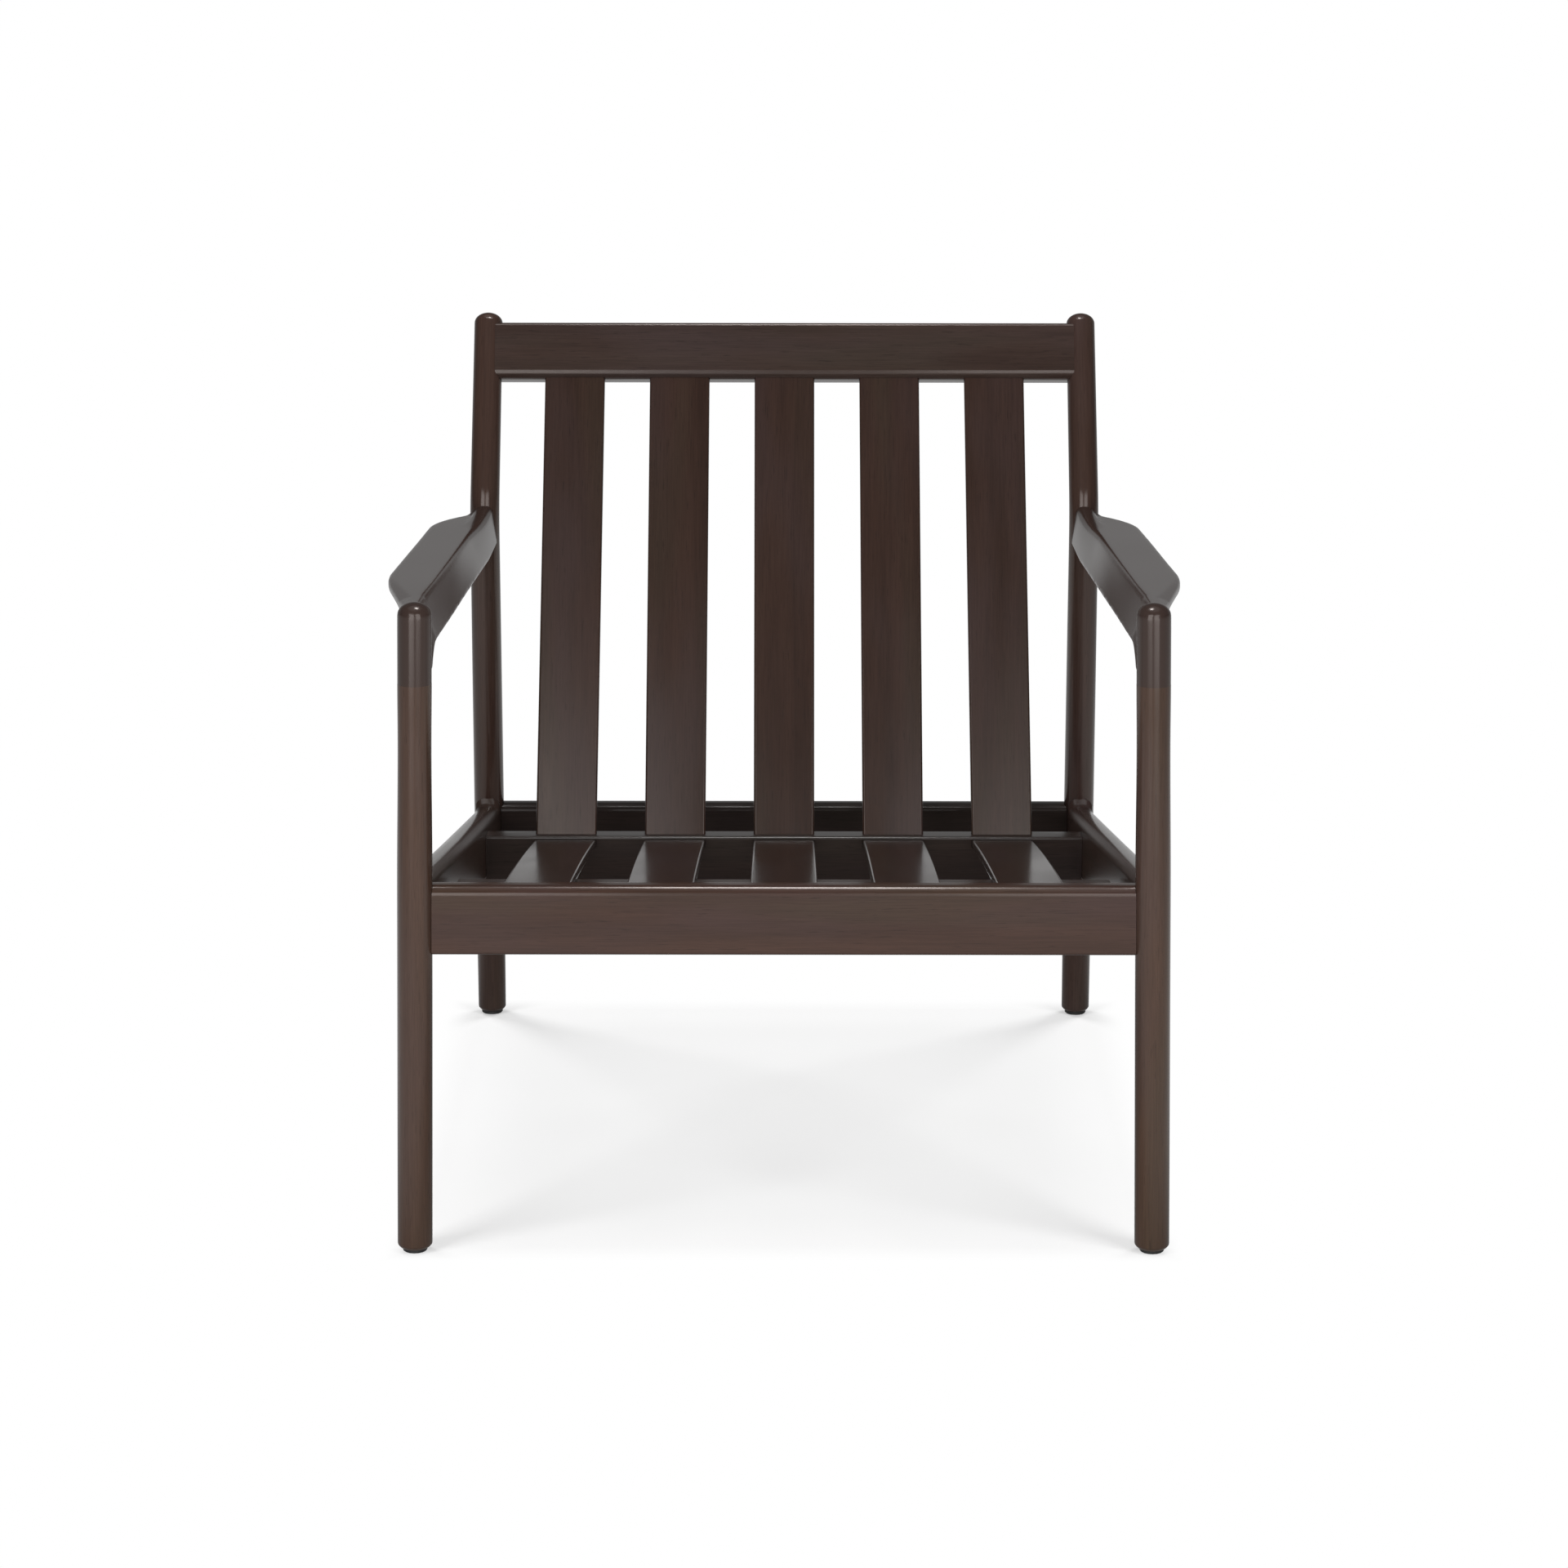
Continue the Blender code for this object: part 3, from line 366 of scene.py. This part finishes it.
def finishPiece(piece, node, wood, grainOf, crease=34):
    # smooth skin, grain coordinates, finish, and the solid that the piece stands for
    global pieceCount
    pieceCount += 1
    data = piece.data
    if data.attributes.get("custom_normal"):
        data.attributes.remove(data.attributes["custom_normal"])
    data.shade_smooth()
    data.set_sharp_from_angle(angle=radians(crease))
    even = piece.modifiers.new("even", "WEIGHTED_NORMAL")
    even.keep_sharp = True
    data.materials.clear()
    data.materials.append(wood)
    shift = boardShift * pieceCount
    grain = data.attributes.new("grain", "FLOAT_VECTOR", "POINT")
    values = []
    for vertex in data.vertices:
        values.extend(grainOf(vertex.co) + shift)
    grain.data.foreach_set("vector", values)
    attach(piece, "root")
    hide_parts(node)
    return piece


def alongAxis(origin, axis, across):
    # grain coordinates of a straight board
    axis = Vector(axis).normalized()
    across = Vector(across)
    across = (across - axis * across.dot(axis)).normalized()
    other = axis.cross(across)
    return lambda p: Vector(((p - origin).dot(across), (p - origin).dot(axis), (p - origin).dot(other)))


# front legs

# rise and inset up the eased edge of a foot
footRound = ((0, 0.0030), (0.0012, 0.0017), (0.0022, 0.0008), (0.0032, 0.0002), (0.0044, 0))

turnedLeg = {
    "footX": 0.3456, "splay": radians(1.04), "footZ": 0.0038, "rings": 40,
    "radius": 0.0163, "taperFrom": 0.354, "neck": 0.0154, "neckZ": 0.490,
    "head": 0.0157, "jointZ": 0.5443,
}


def legAxis(side, z):
    return Vector((side * (turnedLeg["footX"] - z * tan(turnedLeg["splay"])), legY, z))


def legRadius(z):
    part = turnedLeg
    if z < part["neckZ"]:
        t = (z - part["taperFrom"]) / (part["neckZ"] - part["taperFrom"])
        return blend(part["radius"], part["neck"], ease(t))
    t = (z - part["neckZ"]) / (part["jointZ"] - part["neckZ"])
    return blend(part["neck"], part["head"], ease(t))


legs = {}
for hand, side in sides.items():
    up = Vector((0, 0, 1))
    foot = turnedLeg["footZ"]
    rings = []
    for rise, inset in footRound:
        rings.append(circle(legAxis(side, foot + rise), up, turnedLeg["radius"] - inset))
    footEnd = foot + footRound[-1][0]
    for k in range(1, turnedLeg["rings"] + 1):
        z = blend(footEnd, turnedLeg["jointZ"], k / turnedLeg["rings"])
        rings.append(circle(legAxis(side, z), up, legRadius(z)))
    leg = loose("frontLeg" + hand, skin(rings))
    lean = legAxis(side, 0.5) - legAxis(side, 0)
    grainOf = alongAxis(legAxis(side, 0), lean, (1, 0, 0))
    legs[hand] = finishPiece(leg, "front_leg_" + hand.lower(), legWood, grainOf)


# rear posts

bentPost = {
    "footX": 0.3231, "bendX": 0.3187, "topX": 0.3167, "footY": 0.7654, "bendY": 0.7030, "bendZ": 0.573,
    "bendRadius": 0.100, "recline": radians(22.6), "height": 0.7743, "footZ": 0.0038, "crown": 0.011,
    "footRadius": 0.0150, "seatRadius": 0.0161, "armRadius": 0.0155, "topRadius": 0.0150,
    "seatZ": 0.246, "lowerRings": 24, "bendRings": 24, "upperRings": 8,
}
backUp = Vector((0, sin(bentPost["recline"]), cos(bentPost["recline"])))


def postRadius(z):
    part = bentPost
    if z < part["seatZ"]:
        return blend(part["footRadius"], part["seatRadius"], max(z, 0) / part["seatZ"])
    if z < part["bendZ"]:
        t = (z - part["seatZ"]) / (part["bendZ"] - part["seatZ"])
        return blend(part["seatRadius"], part["armRadius"], t)
    t = min((z - part["bendZ"]) / (part["height"] - part["bendZ"]), 1)
    return blend(part["armRadius"], part["topRadius"], t)


def postPath(side):
    # points and directions up the post: straight leg, round bend, straight back upright
    part = bentPost
    foot = Vector((side * part["footX"], legY + part["footY"], 0))
    corner = Vector((side * part["bendX"], legY + part["bendY"], part["bendZ"]))
    tip = corner + backUp * ((part["height"] - part["bendZ"]) / cos(part["recline"]))
    tip.x = side * part["topX"]
    lower = (corner - foot).normalized()
    upper = (tip - corner).normalized()
    turn = lower.angle(upper)
    inward = (upper - lower * cos(turn)) / sin(turn)
    start = corner - lower * part["bendRadius"] * tan(turn / 2)
    count = part["lowerRings"]
    path = [(foot + lower * (start.z / lower.z * k / count), lower) for k in range(count)]
    for k in range(part["bendRings"] + 1):
        angle = turn * k / part["bendRings"]
        point = start + (lower * sin(angle) + inward * (1 - cos(angle))) * part["bendRadius"]
        path.append((point, lower * cos(angle) + inward * sin(angle)))
    top = tip - upper * part["crown"]
    bendEnd = path[-1][0]
    count = part["upperRings"]
    path += [(bendEnd.lerp(top, k / count), upper) for k in range(1, count + 1)]
    return path


def postAxis(side, z):
    path = postPath(side)
    for (low, _), (high, _) in zip(path, path[1:]):
        if z <= high.z:
            break
    return low.lerp(high, (z - low.z) / (high.z - low.z))


def postSkin(side):
    path = postPath(side)
    footPoint, lean = path[0]
    rings = []
    for rise, inset in footRound:
        z = bentPost["footZ"] + rise
        centre = footPoint + lean * (z / lean.z)
        rings.append(circle(centre, lean, postRadius(z) - inset, levelZ=z))
    for point, axis in path[1:]:
        rings.append(circle(point, axis, postRadius(point.z)))
    point, axis = path[-1]
    return skin(rings + dome(point, axis, bentPost["topRadius"], bentPost["crown"]))


def postGrain(side):
    path = postPath(side)

    def place(p):
        for (low, direction), (high, _) in zip(path, path[1:]):
            if (p - high).dot(direction) <= 0:
                break
        offset = p - low - direction * (p - low).dot(direction)
        other = direction.cross(Vector((1, 0, 0)))
        return Vector((offset.x, (p - path[0][0]).length, offset.dot(other)))
    return place


posts = {}
for hand, side in sides.items():
    post = loose("rearPost" + hand, postSkin(side))
    posts[hand] = finishPiece(post, "rear_post_" + hand.lower(), postWood, postGrain(side))
print("legs and posts turned")


# arms, carved from the solid

carvedArm = {
    "topZ": 0.6155, "fall": radians(3.55), "depthFront": 0.0410, "depthRear": 0.0372,
    "inner": 0.0155, "innerLift": 0.0010, "innerEase": 0.0028,
    "ridge": 0.0026, "ridgeEase": 0.007, "ridgeEaseFront": 0.013, "softFront": 0.16,
    "spine": 0.0070, "spineEase": 0.012,
    "legSweep": 0.045, "legTaper": 0.0148, "tail": 0.013,                    # underside down to the leg
    "postSweep": 0.012, "postDrop": 0.009, "flow": 0.19, "flowRidge": 0.0092,
    "ramp": 0.115, "rampRise": 0.0095,                                       # top up to the post
    "rampCentre": -0.0030, "rampHalf": 0.0140, "rampEdge": 5,
    "reach": 0.0477, "frontY": 0.198, "setback": 0.074,                      # paddle wing
    "legRoot": 0.0080, "postRoot": 0.0135, "legHollow": 7, "postHollow": 2,
    "edge": 0.0095, "edgeEase": 0.0038, "bevel": 0.0105, "bevelFall": 0.40,
    "frontEase": 0.009, "rearEase": 0.020, "frontFall": 0.010,
    "stubTop": 0.6200, "crown": 0.0118, "joint": 0.5443, "stubRoot": 0.02, "stubRings": 12,
    "slices": {"stub": 8, "sweep": 24, "body": 90, "post": 10}, "crowding": 1.5,
    "cornerSteps": 6, "topPoints": 12,
    "grid": 0.0012, "scrape": 0.5, "blendPasses": 13,
    "toolMarks": 0.00016, "calmLeg": (0.03, 0.06), "calmPost": 0.05,         # unevenness left by hand
    "waves": ((0.6, 15, 170, 1), (0.4, 26, -110, 2)),      # share, turns along and down the arm, start
    "wearFrom": 0.10, "wearFull": 0.34,                    # turn of the skin at a rubbed edge
}
armPostZ = carvedArm["topZ"] - bentPost["bendY"] * tan(carvedArm["fall"]) - carvedArm["depthRear"] / 2
armPostPoint = postAxis(1, armPostZ)
armPostY = armPostPoint.y - legY
armPostFace = armPostY - postRadius(armPostZ)
stubRadius = turnedLeg["head"]


def armLineX(y):
    front = legAxis(1, carvedArm["topZ"] - carvedArm["depthFront"] / 2).x
    return blend(front, armPostPoint.x, y / armPostY)


def armSection(y):
    # outline across the arm, y behind the leg's axis
    part = carvedArm
    plainTop = part["topZ"] - y * tan(part["fall"])
    top = plainTop - part["frontFall"] * max(1 - y / stubRadius, 0) ** 2
    toLeg = sweepUp(y - stubRadius, part["legSweep"], 1)
    drop = sweepUp(armPostFace - y, part["postSweep"], part["postDrop"])
    plainLow = plainTop - blend(part["depthFront"], part["depthRear"], y / armPostY)
    low = blend(plainLow - drop, part["joint"], toLeg)
    front = blend(part["legRoot"], part["reach"], y / part["frontY"])
    rear = blend(part["postRoot"], part["reach"], (armPostY - y) / part["setback"])
    reach = easeMin(easeMin(front, part["reach"], part["frontEase"]), rear, part["rearEase"])
    reach = max(reach, part["legRoot"])
    nearLeg = max(1 - y / part["frontY"], 0)
    nearPost = max(1 - (armPostY - y) / part["setback"], 0)
    hollow = max(nearLeg ** part["legHollow"], nearPost ** part["postHollow"])
    edge = blend(part["edge"], top - low - 2 * part["edgeEase"], hollow)
    inner = blend(part["inner"], part["legTaper"], toLeg ** 2)
    bevel = min(part["edgeEase"] + part["bevel"] * nearLeg, reach / 2)
    ridge = blend(part["ridge"], part["flowRidge"], ease(1 - (armPostFace - y) / part["flow"]))
    corners = [(-inner, low + part["innerLift"]), (min(part["spine"], reach / 2), low),
               (reach, top - edge), (reach, top - bevel * part["bevelFall"]),
               (reach - bevel, top), (-ridge, top)]
    soft = max(1 - y / part["softFront"], 0)
    ridgeEase = blend(part["ridgeEase"], part["ridgeEaseFront"], soft)
    radii = (part["innerEase"], part["spineEase"], *(part["edgeEase"],) * 3, ridgeEase)
    outline = roundedOutline(corners, radii, part["cornerSteps"])

    ridgeStart = (len(corners) - 1) * (part["cornerSteps"] + 1)
    edgePoint, ridgePoint = outline[ridgeStart - 1], outline[ridgeStart]
    flatTop = [edgePoint.lerp(ridgePoint, k / part["topPoints"]) for k in range(1, part["topPoints"])]
    outline[ridgeStart:ridgeStart] = flatTop
    ramp = clamp(1 - (armPostFace - y) / part["ramp"]) ** 2 * part["rampRise"]
    for point in outline:
        aside = min(abs(point.x - part["rampCentre"]) / part["rampHalf"], 1)
        point.y += ramp * (1 - aside ** part["rampEdge"]) * (point.y - low) / (top - low)
    return outline


def armBlank(side):
    # the arm and its stub over the leg, still two skins in one mesh
    part = carvedArm
    count = part["slices"]
    sweepEnd = stubRadius + part["legSweep"]
    postStart = armPostFace - part["postSweep"]
    stations = [stubRadius * k / count["stub"] for k in range(count["stub"])]
    stations += [stubRadius + part["legSweep"] * (k / count["sweep"]) ** part["crowding"]
                 for k in range(count["sweep"] + 1)]
    stations += [blend(sweepEnd, postStart, k / count["body"]) for k in range(1, count["body"] + 1)]
    stations += [armPostFace - part["postSweep"] * (1 - k / count["post"])
                 for k in range(1, count["post"] + 1)]
    stations += [armPostY]
    rings = []
    for y in stations:
        line = side * armLineX(y)
        rings.append([Vector((line + side * out, legY + y, z)) for out, z in armSection(y)])
    blank = skin(rings)

    up = Vector((0, 0, 1))
    root = part["joint"] - part["stubRoot"]
    shoulder = part["stubTop"] - part["crown"]
    stub = [circle(legAxis(side, blend(root, shoulder, k / part["stubRings"])), up, stubRadius)
            for k in range(part["stubRings"] + 1)]
    stub += dome(legAxis(side, shoulder), up, stubRadius, part["crown"])
    extra = bpy.data.meshes.new("stub")
    cap = skin(stub)
    cap.to_mesh(extra)
    cap.free()
    blank.from_mesh(extra)
    bpy.data.meshes.remove(extra)
    return blank


def unevenness(p, side):
    # slow waves, none at the stub or the post
    y = p.y - legY
    calmFrom, calmLength = carvedArm["calmLeg"]
    calm = clamp((y - calmFrom) / calmLength) * clamp((armPostFace - y) / carvedArm["calmPost"])
    depth = p.z - carvedArm["topZ"] + y * tan(carvedArm["fall"])
    return calm * sum(share * sin(along * y + down * depth + start * side)
                      for share, along, down, start in carvedArm["waves"])


def tailPoint(p, side):
    # the sweep under the arm dies into the round of the leg
    axis = legAxis(side, p.z)
    out = p - axis
    excess = out.length - stubRadius
    t = (p.z - carvedArm["joint"]) / carvedArm["tail"]
    if excess <= 0 or t >= 1 or p.y - legY > carvedArm["legSweep"]:
        return p
    return axis + out.normalized() * (stubRadius + excess * ease(t))


def markWear(piece):
    # how sharply the skin turns at each vertex, for the rubbed edges
    start, full = carvedArm["wearFrom"], carvedArm["wearFull"]
    mesh = bmesh.new()
    mesh.from_mesh(piece.data)
    marks = []
    for vertex in mesh.verts:
        turn = sum(vertex.normal.angle(face.normal, 0) for face in vertex.link_faces)
        turn /= max(len(vertex.link_faces), 1)
        marks.append(clamp((turn - start) / (full - start)))
    mesh.free()
    wear = piece.data.attributes.new("wear", "FLOAT", "POINT")
    wear.data.foreach_set("value", marks)


def armGrain(side):
    return lambda p: Vector((p.x - side * armLineX(p.y - legY), p.y - legY, p.z))


for hand, side in sides.items():
    arm = loose("arm" + hand, armBlank(side))
    carve = arm.modifiers.new("carve", "REMESH")
    carve.mode = "VOXEL"
    carve.voxel_size = carvedArm["grid"]
    scrape = arm.modifiers.new("scrape", "SMOOTH")
    scrape.factor = carvedArm["scrape"]
    scrape.iterations = carvedArm["blendPasses"]
    bakeModifiers(arm)
    mesh = bmesh.new()
    mesh.from_mesh(arm.data)
    for vertex in mesh.verts:
        vertex.co += vertex.normal * carvedArm["toolMarks"] * unevenness(vertex.co, side)
        vertex.co = tailPoint(vertex.co, side)
    everything = mesh.verts[:] + mesh.edges[:] + mesh.faces[:]
    sawn = bmesh.ops.bisect_plane(mesh, geom=everything, plane_co=(0, 0, carvedArm["joint"]),
                                  plane_no=(0, 0, -1), clear_outer=True)
    rim = [edge for edge in sawn["geom_cut"] if isinstance(edge, bmesh.types.BMEdge)]
    bmesh.ops.edgeloop_fill(mesh, edges=rim)
    bmesh.ops.recalc_face_normals(mesh, faces=mesh.faces)
    mesh.to_mesh(arm.data)
    mesh.free()
    cutWith(arm, posts[hand])
    markWear(arm)
    finishPiece(arm, "arm_" + hand.lower(), armWood, armGrain(side), crease=50)
print("arms carved")


# rails, slats and batten keep the solids' joints

def dressNode(piece, node, finish, axis, across, slot="stained_wood"):
    low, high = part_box(node)
    made = loose(piece, copyOf(node))
    return finishPiece(made, node, finish, alongAxis((low + high) / 2, axis, across))


boards = {"sideFall": radians(9.1), "seatFall": 0.17, "slats": 5}      # sides and seat fall to the rear
sideways, upward, rearward = (1, 0, 0), (0, 0, 1), (0, 1, 0)
downSide = (0, cos(boards["sideFall"]), -sin(boards["sideFall"]))
downSeat = (0, 1, -boards["seatFall"])
slatNumbers = range(1, boards["slats"] + 1)

dressNode("frontRail", "front_rail", railWood, sideways, upward)
dressNode("rearRail", "rear_rail", rearShadeWood, sideways, upward)
dressNode("slatRail", "slat_rail", shadedWood, sideways, upward)
crestRail = dressNode("crestRail", "crest_rail", crestWood, sideways, backUp)
dressNode("seatBatten", "seat_batten", battenWood, sideways, rearward)
for hand in sides:
    dressNode("sideRail" + hand, "side_rail_" + hand.lower(), sideWood, downSide, upward)
for number in slatNumbers:
    dressNode(f"backSlat{number}", f"back_slat_{number}", slatWood, backUp, sideways)
    dressNode(f"seatSlat{number}", f"seat_slat_{number}", seatWood, downSeat, sideways)
print("rails and slats fitted")


# glides, screws and dowels

glideLook = {
    "dark": (0.010, 0.010, 0.010, 1), "light": (0.022, 0.021, 0.020, 1),
    "roughness": (0.3, 0.7, 0.42, 0.58), "metallic": 0.0, "relief": 0.1, "reliefDepth": 0.0003,
    "fleck": (420, 420, 420), "detail": 2.0,
}
screwLook = {
    "dark": (0.42, 0.41, 0.38, 1), "light": (0.58, 0.57, 0.54, 1),
    "roughness": (0.3, 0.7, 0.3, 0.46), "metallic": 1.0,
    "fleck": (900, 900, 900), "detail": 3.0,
}
dowelLook = {
    "dark": (0.42, 0.27, 0.15, 1), "light": (0.58, 0.40, 0.24, 1),
    "roughness": (0.3, 0.7, 0.55, 0.7), "metallic": 0.0,
    "fleck": (700, 700, 24), "detail": 2.0,      # drawn out along the dowel
}


def fleckedFinish(name, look):
    made, sheet = newSheet(name)
    spot = sheet.node("ShaderNodeTexCoord", out=3)
    place = sheet.node("ShaderNodeVectorMath", {"operation": "MULTIPLY"}, {0: spot, 1: look["fleck"]})
    fleck = sheet.node("ShaderNodeTexNoise", None,
                       {"Vector": place, "Scale": 1.0, "Detail": look["detail"]})
    finish = {"Base Color": mixColour(sheet, fleck, look["dark"], look["light"]),
              "Roughness": spread(sheet, fleck, *look["roughness"]), "Metallic": look["metallic"]}
    if "relief" in look:
        height = {"Strength": look["relief"], "Distance": look["reliefDepth"], "Height": fleck}
        finish["Normal"] = sheet.node("ShaderNodeBump", None, height)
    surface = sheet.node("ShaderNodeBsdfPrincipled", None, finish)
    sheet.node("ShaderNodeOutputMaterial", None, {"Surface": surface})
    return made


glideNylon = fleckedFinish("glideNylon", glideLook)
screwZinc = fleckedFinish("screwZinc", screwLook)
dowelBeech = fleckedFinish("dowelBeech", dowelLook)
upright = upward, sideways
for number in slatNumbers:
    dressNode(f"battenScrew{number}", f"batten_screw_{number}", screwZinc, *upright, "screw_steel")
for hand in sides:
    word = hand.lower()
    dressNode("armDowel" + hand, "arm_dowel_" + word, dowelBeech, *upright, "dowel_wood")
    for end in ("front", "rear"):
        dressNode(f"{end}Glide{hand}", f"foot_glide_{end}_{word}", glideNylon, *upright,
                  "glide_plastic")
print("small fittings finished")


# floor

floorLook = {
    "half": 40.0, "paper": (0.79, 0.79, 0.79, 1), "bounce": (0.25, 0.25, 0.25, 1), "white": 1.0,
    "near": 0.28, "edge": (0.94, 1.06),                # share of plain white under the chair
    "footLine": (0.355, 0.400, 1.0),
    "sheen": (0.80, 0.40), "sheenFade": (1.5, 2.3),    # as polish shows it, close by and far away
    "sheenFrom": (0.40, 0.80),
}
mesh = bmesh.new()
half = floorLook["half"]
outline = ((-half, -half, 0), (half, -half, 0), (half, half, 0), (-half, half, 0))
mesh.faces.new([mesh.verts.new(point) for point in outline])
floor = loose("studioFloor", mesh)
paleFloor, sheet = newSheet("paleFloor")
cameraRay = sheet.node("ShaderNodeLightPath", out=0)
glossyRay = sheet.node("ShaderNodeLightPath", out=3)
clearRay = sheet.node("ShaderNodeLightPath", out=6)
seen = sheet.node("ShaderNodeMath", {"operation": "ADD", "use_clamp": True},
                  {0: cameraRay, 1: clearRay})
paper = mixColour(sheet, seen, floorLook["bounce"], floorLook["paper"])
paper = sheet.node("ShaderNodeBsdfDiffuse", None, {"Color": paper})
glow = sheet.node("ShaderNodeEmission", None, {"Color": (1, 1, 1, 1), "Strength": floorLook["white"]})
spot = sheet.node("ShaderNodeTexCoord", out=3)
away = sheet.node("ShaderNodeVectorMath", {"operation": "LENGTH"}, {0: spot}, 1)
feet = sheet.node("ShaderNodeVectorMath", {"operation": "DIVIDE"}, {0: spot, 1: floorLook["footLine"]})
feet = sheet.node("ShaderNodeVectorMath", {"operation": "ABSOLUTE"}, {0: feet})
beyond = sheet.math("MAXIMUM", partOf(sheet, feet, "X"), partOf(sheet, feet, "Y"))      # 1 at the feet
far = spread(sheet, beyond, *floorLook["edge"], floorLook["near"], 1.0)
polish = spread(sheet, away, *floorLook["sheenFrom"])
polish = polish * spread(sheet, away, *floorLook["sheenFade"], *floorLook["sheen"])
white = seen * far + glossyRay * polish
surface = sheet.node("ShaderNodeMixShader", None, {0: white, 1: paper, 2: glow})
sheet.node("ShaderNodeOutputMaterial", None, {"Surface": surface})
floor.data.materials.append(paleFloor)


# studio light

studio = {
    "wall": (0.30, 0.30, 0.30, 1), "wallFrom": (0.2, 0.7), "wallTop": (0.25, 0.42),      # at the rear
    "dim": (0.10, 0.10, 0.10, 1), "zenith": (0.60, 0.60, 0.60, 1), "zenithFrom": (0.84, 0.95),
    "paper": (1, 1, 1, 1),
    "overhead": {"place": (0, -0.25, 2.6), "look": (0, -0.1, 0.3), "size": (0.45, 0.36), "power": 15},
    "frontLeft": {"place": (-1.05, -2.95, 1.20), "look": (0, 0, 1.20),
                  "size": (1.62, 2.40), "power": 46},
    "frontRight": {"place": (1.05, -2.95, 1.16), "look": (0, 0, 1.16),
                   "size": (1.62, 2.32), "power": 40},
    "strip": {"place": (0, -0.30, 2.6), "look": (0, 0.1, 0.7), "size": (1.7, 0.50), "power": 10},
    "corner": {"place": (2.5, 2.5, 3.0), "look": (0, 0, 0), "size": (1.6, 1.6), "power": 82},
    "ceiling": {"place": (0, 0, 3.5), "look": (0, 0, 0), "size": (3.0, 3.0), "power": 22},
}
world = bpy.data.worlds.new("studio")
bpy.context.scene.world = world
world.use_nodes = True
world.node_tree.nodes.clear()
room = Wire(world.node_tree)
direction = room.node("ShaderNodeTexCoord", out=0)
behind = partOf(room, direction, "Y")
height = partOf(room, direction, "Z")
lit = spread(room, behind, *studio["wallFrom"]) * spread(room, height, *studio["wallTop"], 1.0, 0.0)
walls = mixColour(room, lit, studio["dim"], studio["wall"])
walls = mixColour(room, spread(room, height, *studio["zenithFrom"]), walls, studio["zenith"])
roomRay = room.node("ShaderNodeLightPath", out=0) + room.node("ShaderNodeLightPath", out=6)
walls = mixColour(room, roomRay, walls, studio["paper"])      # plain paper wherever it is looked at
backdrop = room.node("ShaderNodeBackground", None, {"Color": walls, "Strength": 1.0})
room.node("ShaderNodeOutputWorld", None, {"Surface": backdrop})


def groupOf(name, pieces):
    made = bpy.data.collections.new(name)
    for piece in pieces:
        made.objects.link(piece)
    return made


floorOnly = groupOf("floorOnly", [floor])
chairOnly = groupOf("chairOnly", [floor])
chairOnly.collection_objects[0].light_linking.link_state = "EXCLUDE"
backOnly = groupOf("backOnly", [crestRail, *posts.values()])
standing = groupOf("standing", [*legs.values(), *posts.values()])


def hangLamp(name, lamp, lights, shadowsOf=None):
    data = bpy.data.lights.new(name, "AREA")
    data.shape = "RECTANGLE"
    data.size, data.size_y = lamp["size"]
    data.energy = lamp["power"]
    made = bpy.data.objects.new(name, data)
    bpy.context.scene.collection.objects.link(made)
    made.location = lamp["place"]
    towards = Vector(lamp["look"]) - Vector(lamp["place"])
    made.rotation_euler = towards.to_track_quat("-Z", "Y").to_euler()
    made.light_linking.receiver_collection = lights
    made.light_linking.blocker_collection = shadowsOf


for name in ("overhead", "frontLeft", "frontRight"):
    hangLamp(name, studio[name], chairOnly)
hangLamp("strip", studio["strip"], backOnly)
hangLamp("ceiling", studio["ceiling"], floorOnly)
corner = studio["corner"]
for across in (-1, 1):
    for along in (-1, 1):      # four corners, for the soft crossed shadows of the legs
        place = (across * corner["place"][0], along * corner["place"][1], corner["place"][2])
        hangLamp(f"corner{across}{along}", {**corner, "place": place}, floorOnly, standing)
bpy.context.scene.view_settings.view_transform = "Standard"
print("studio lit")
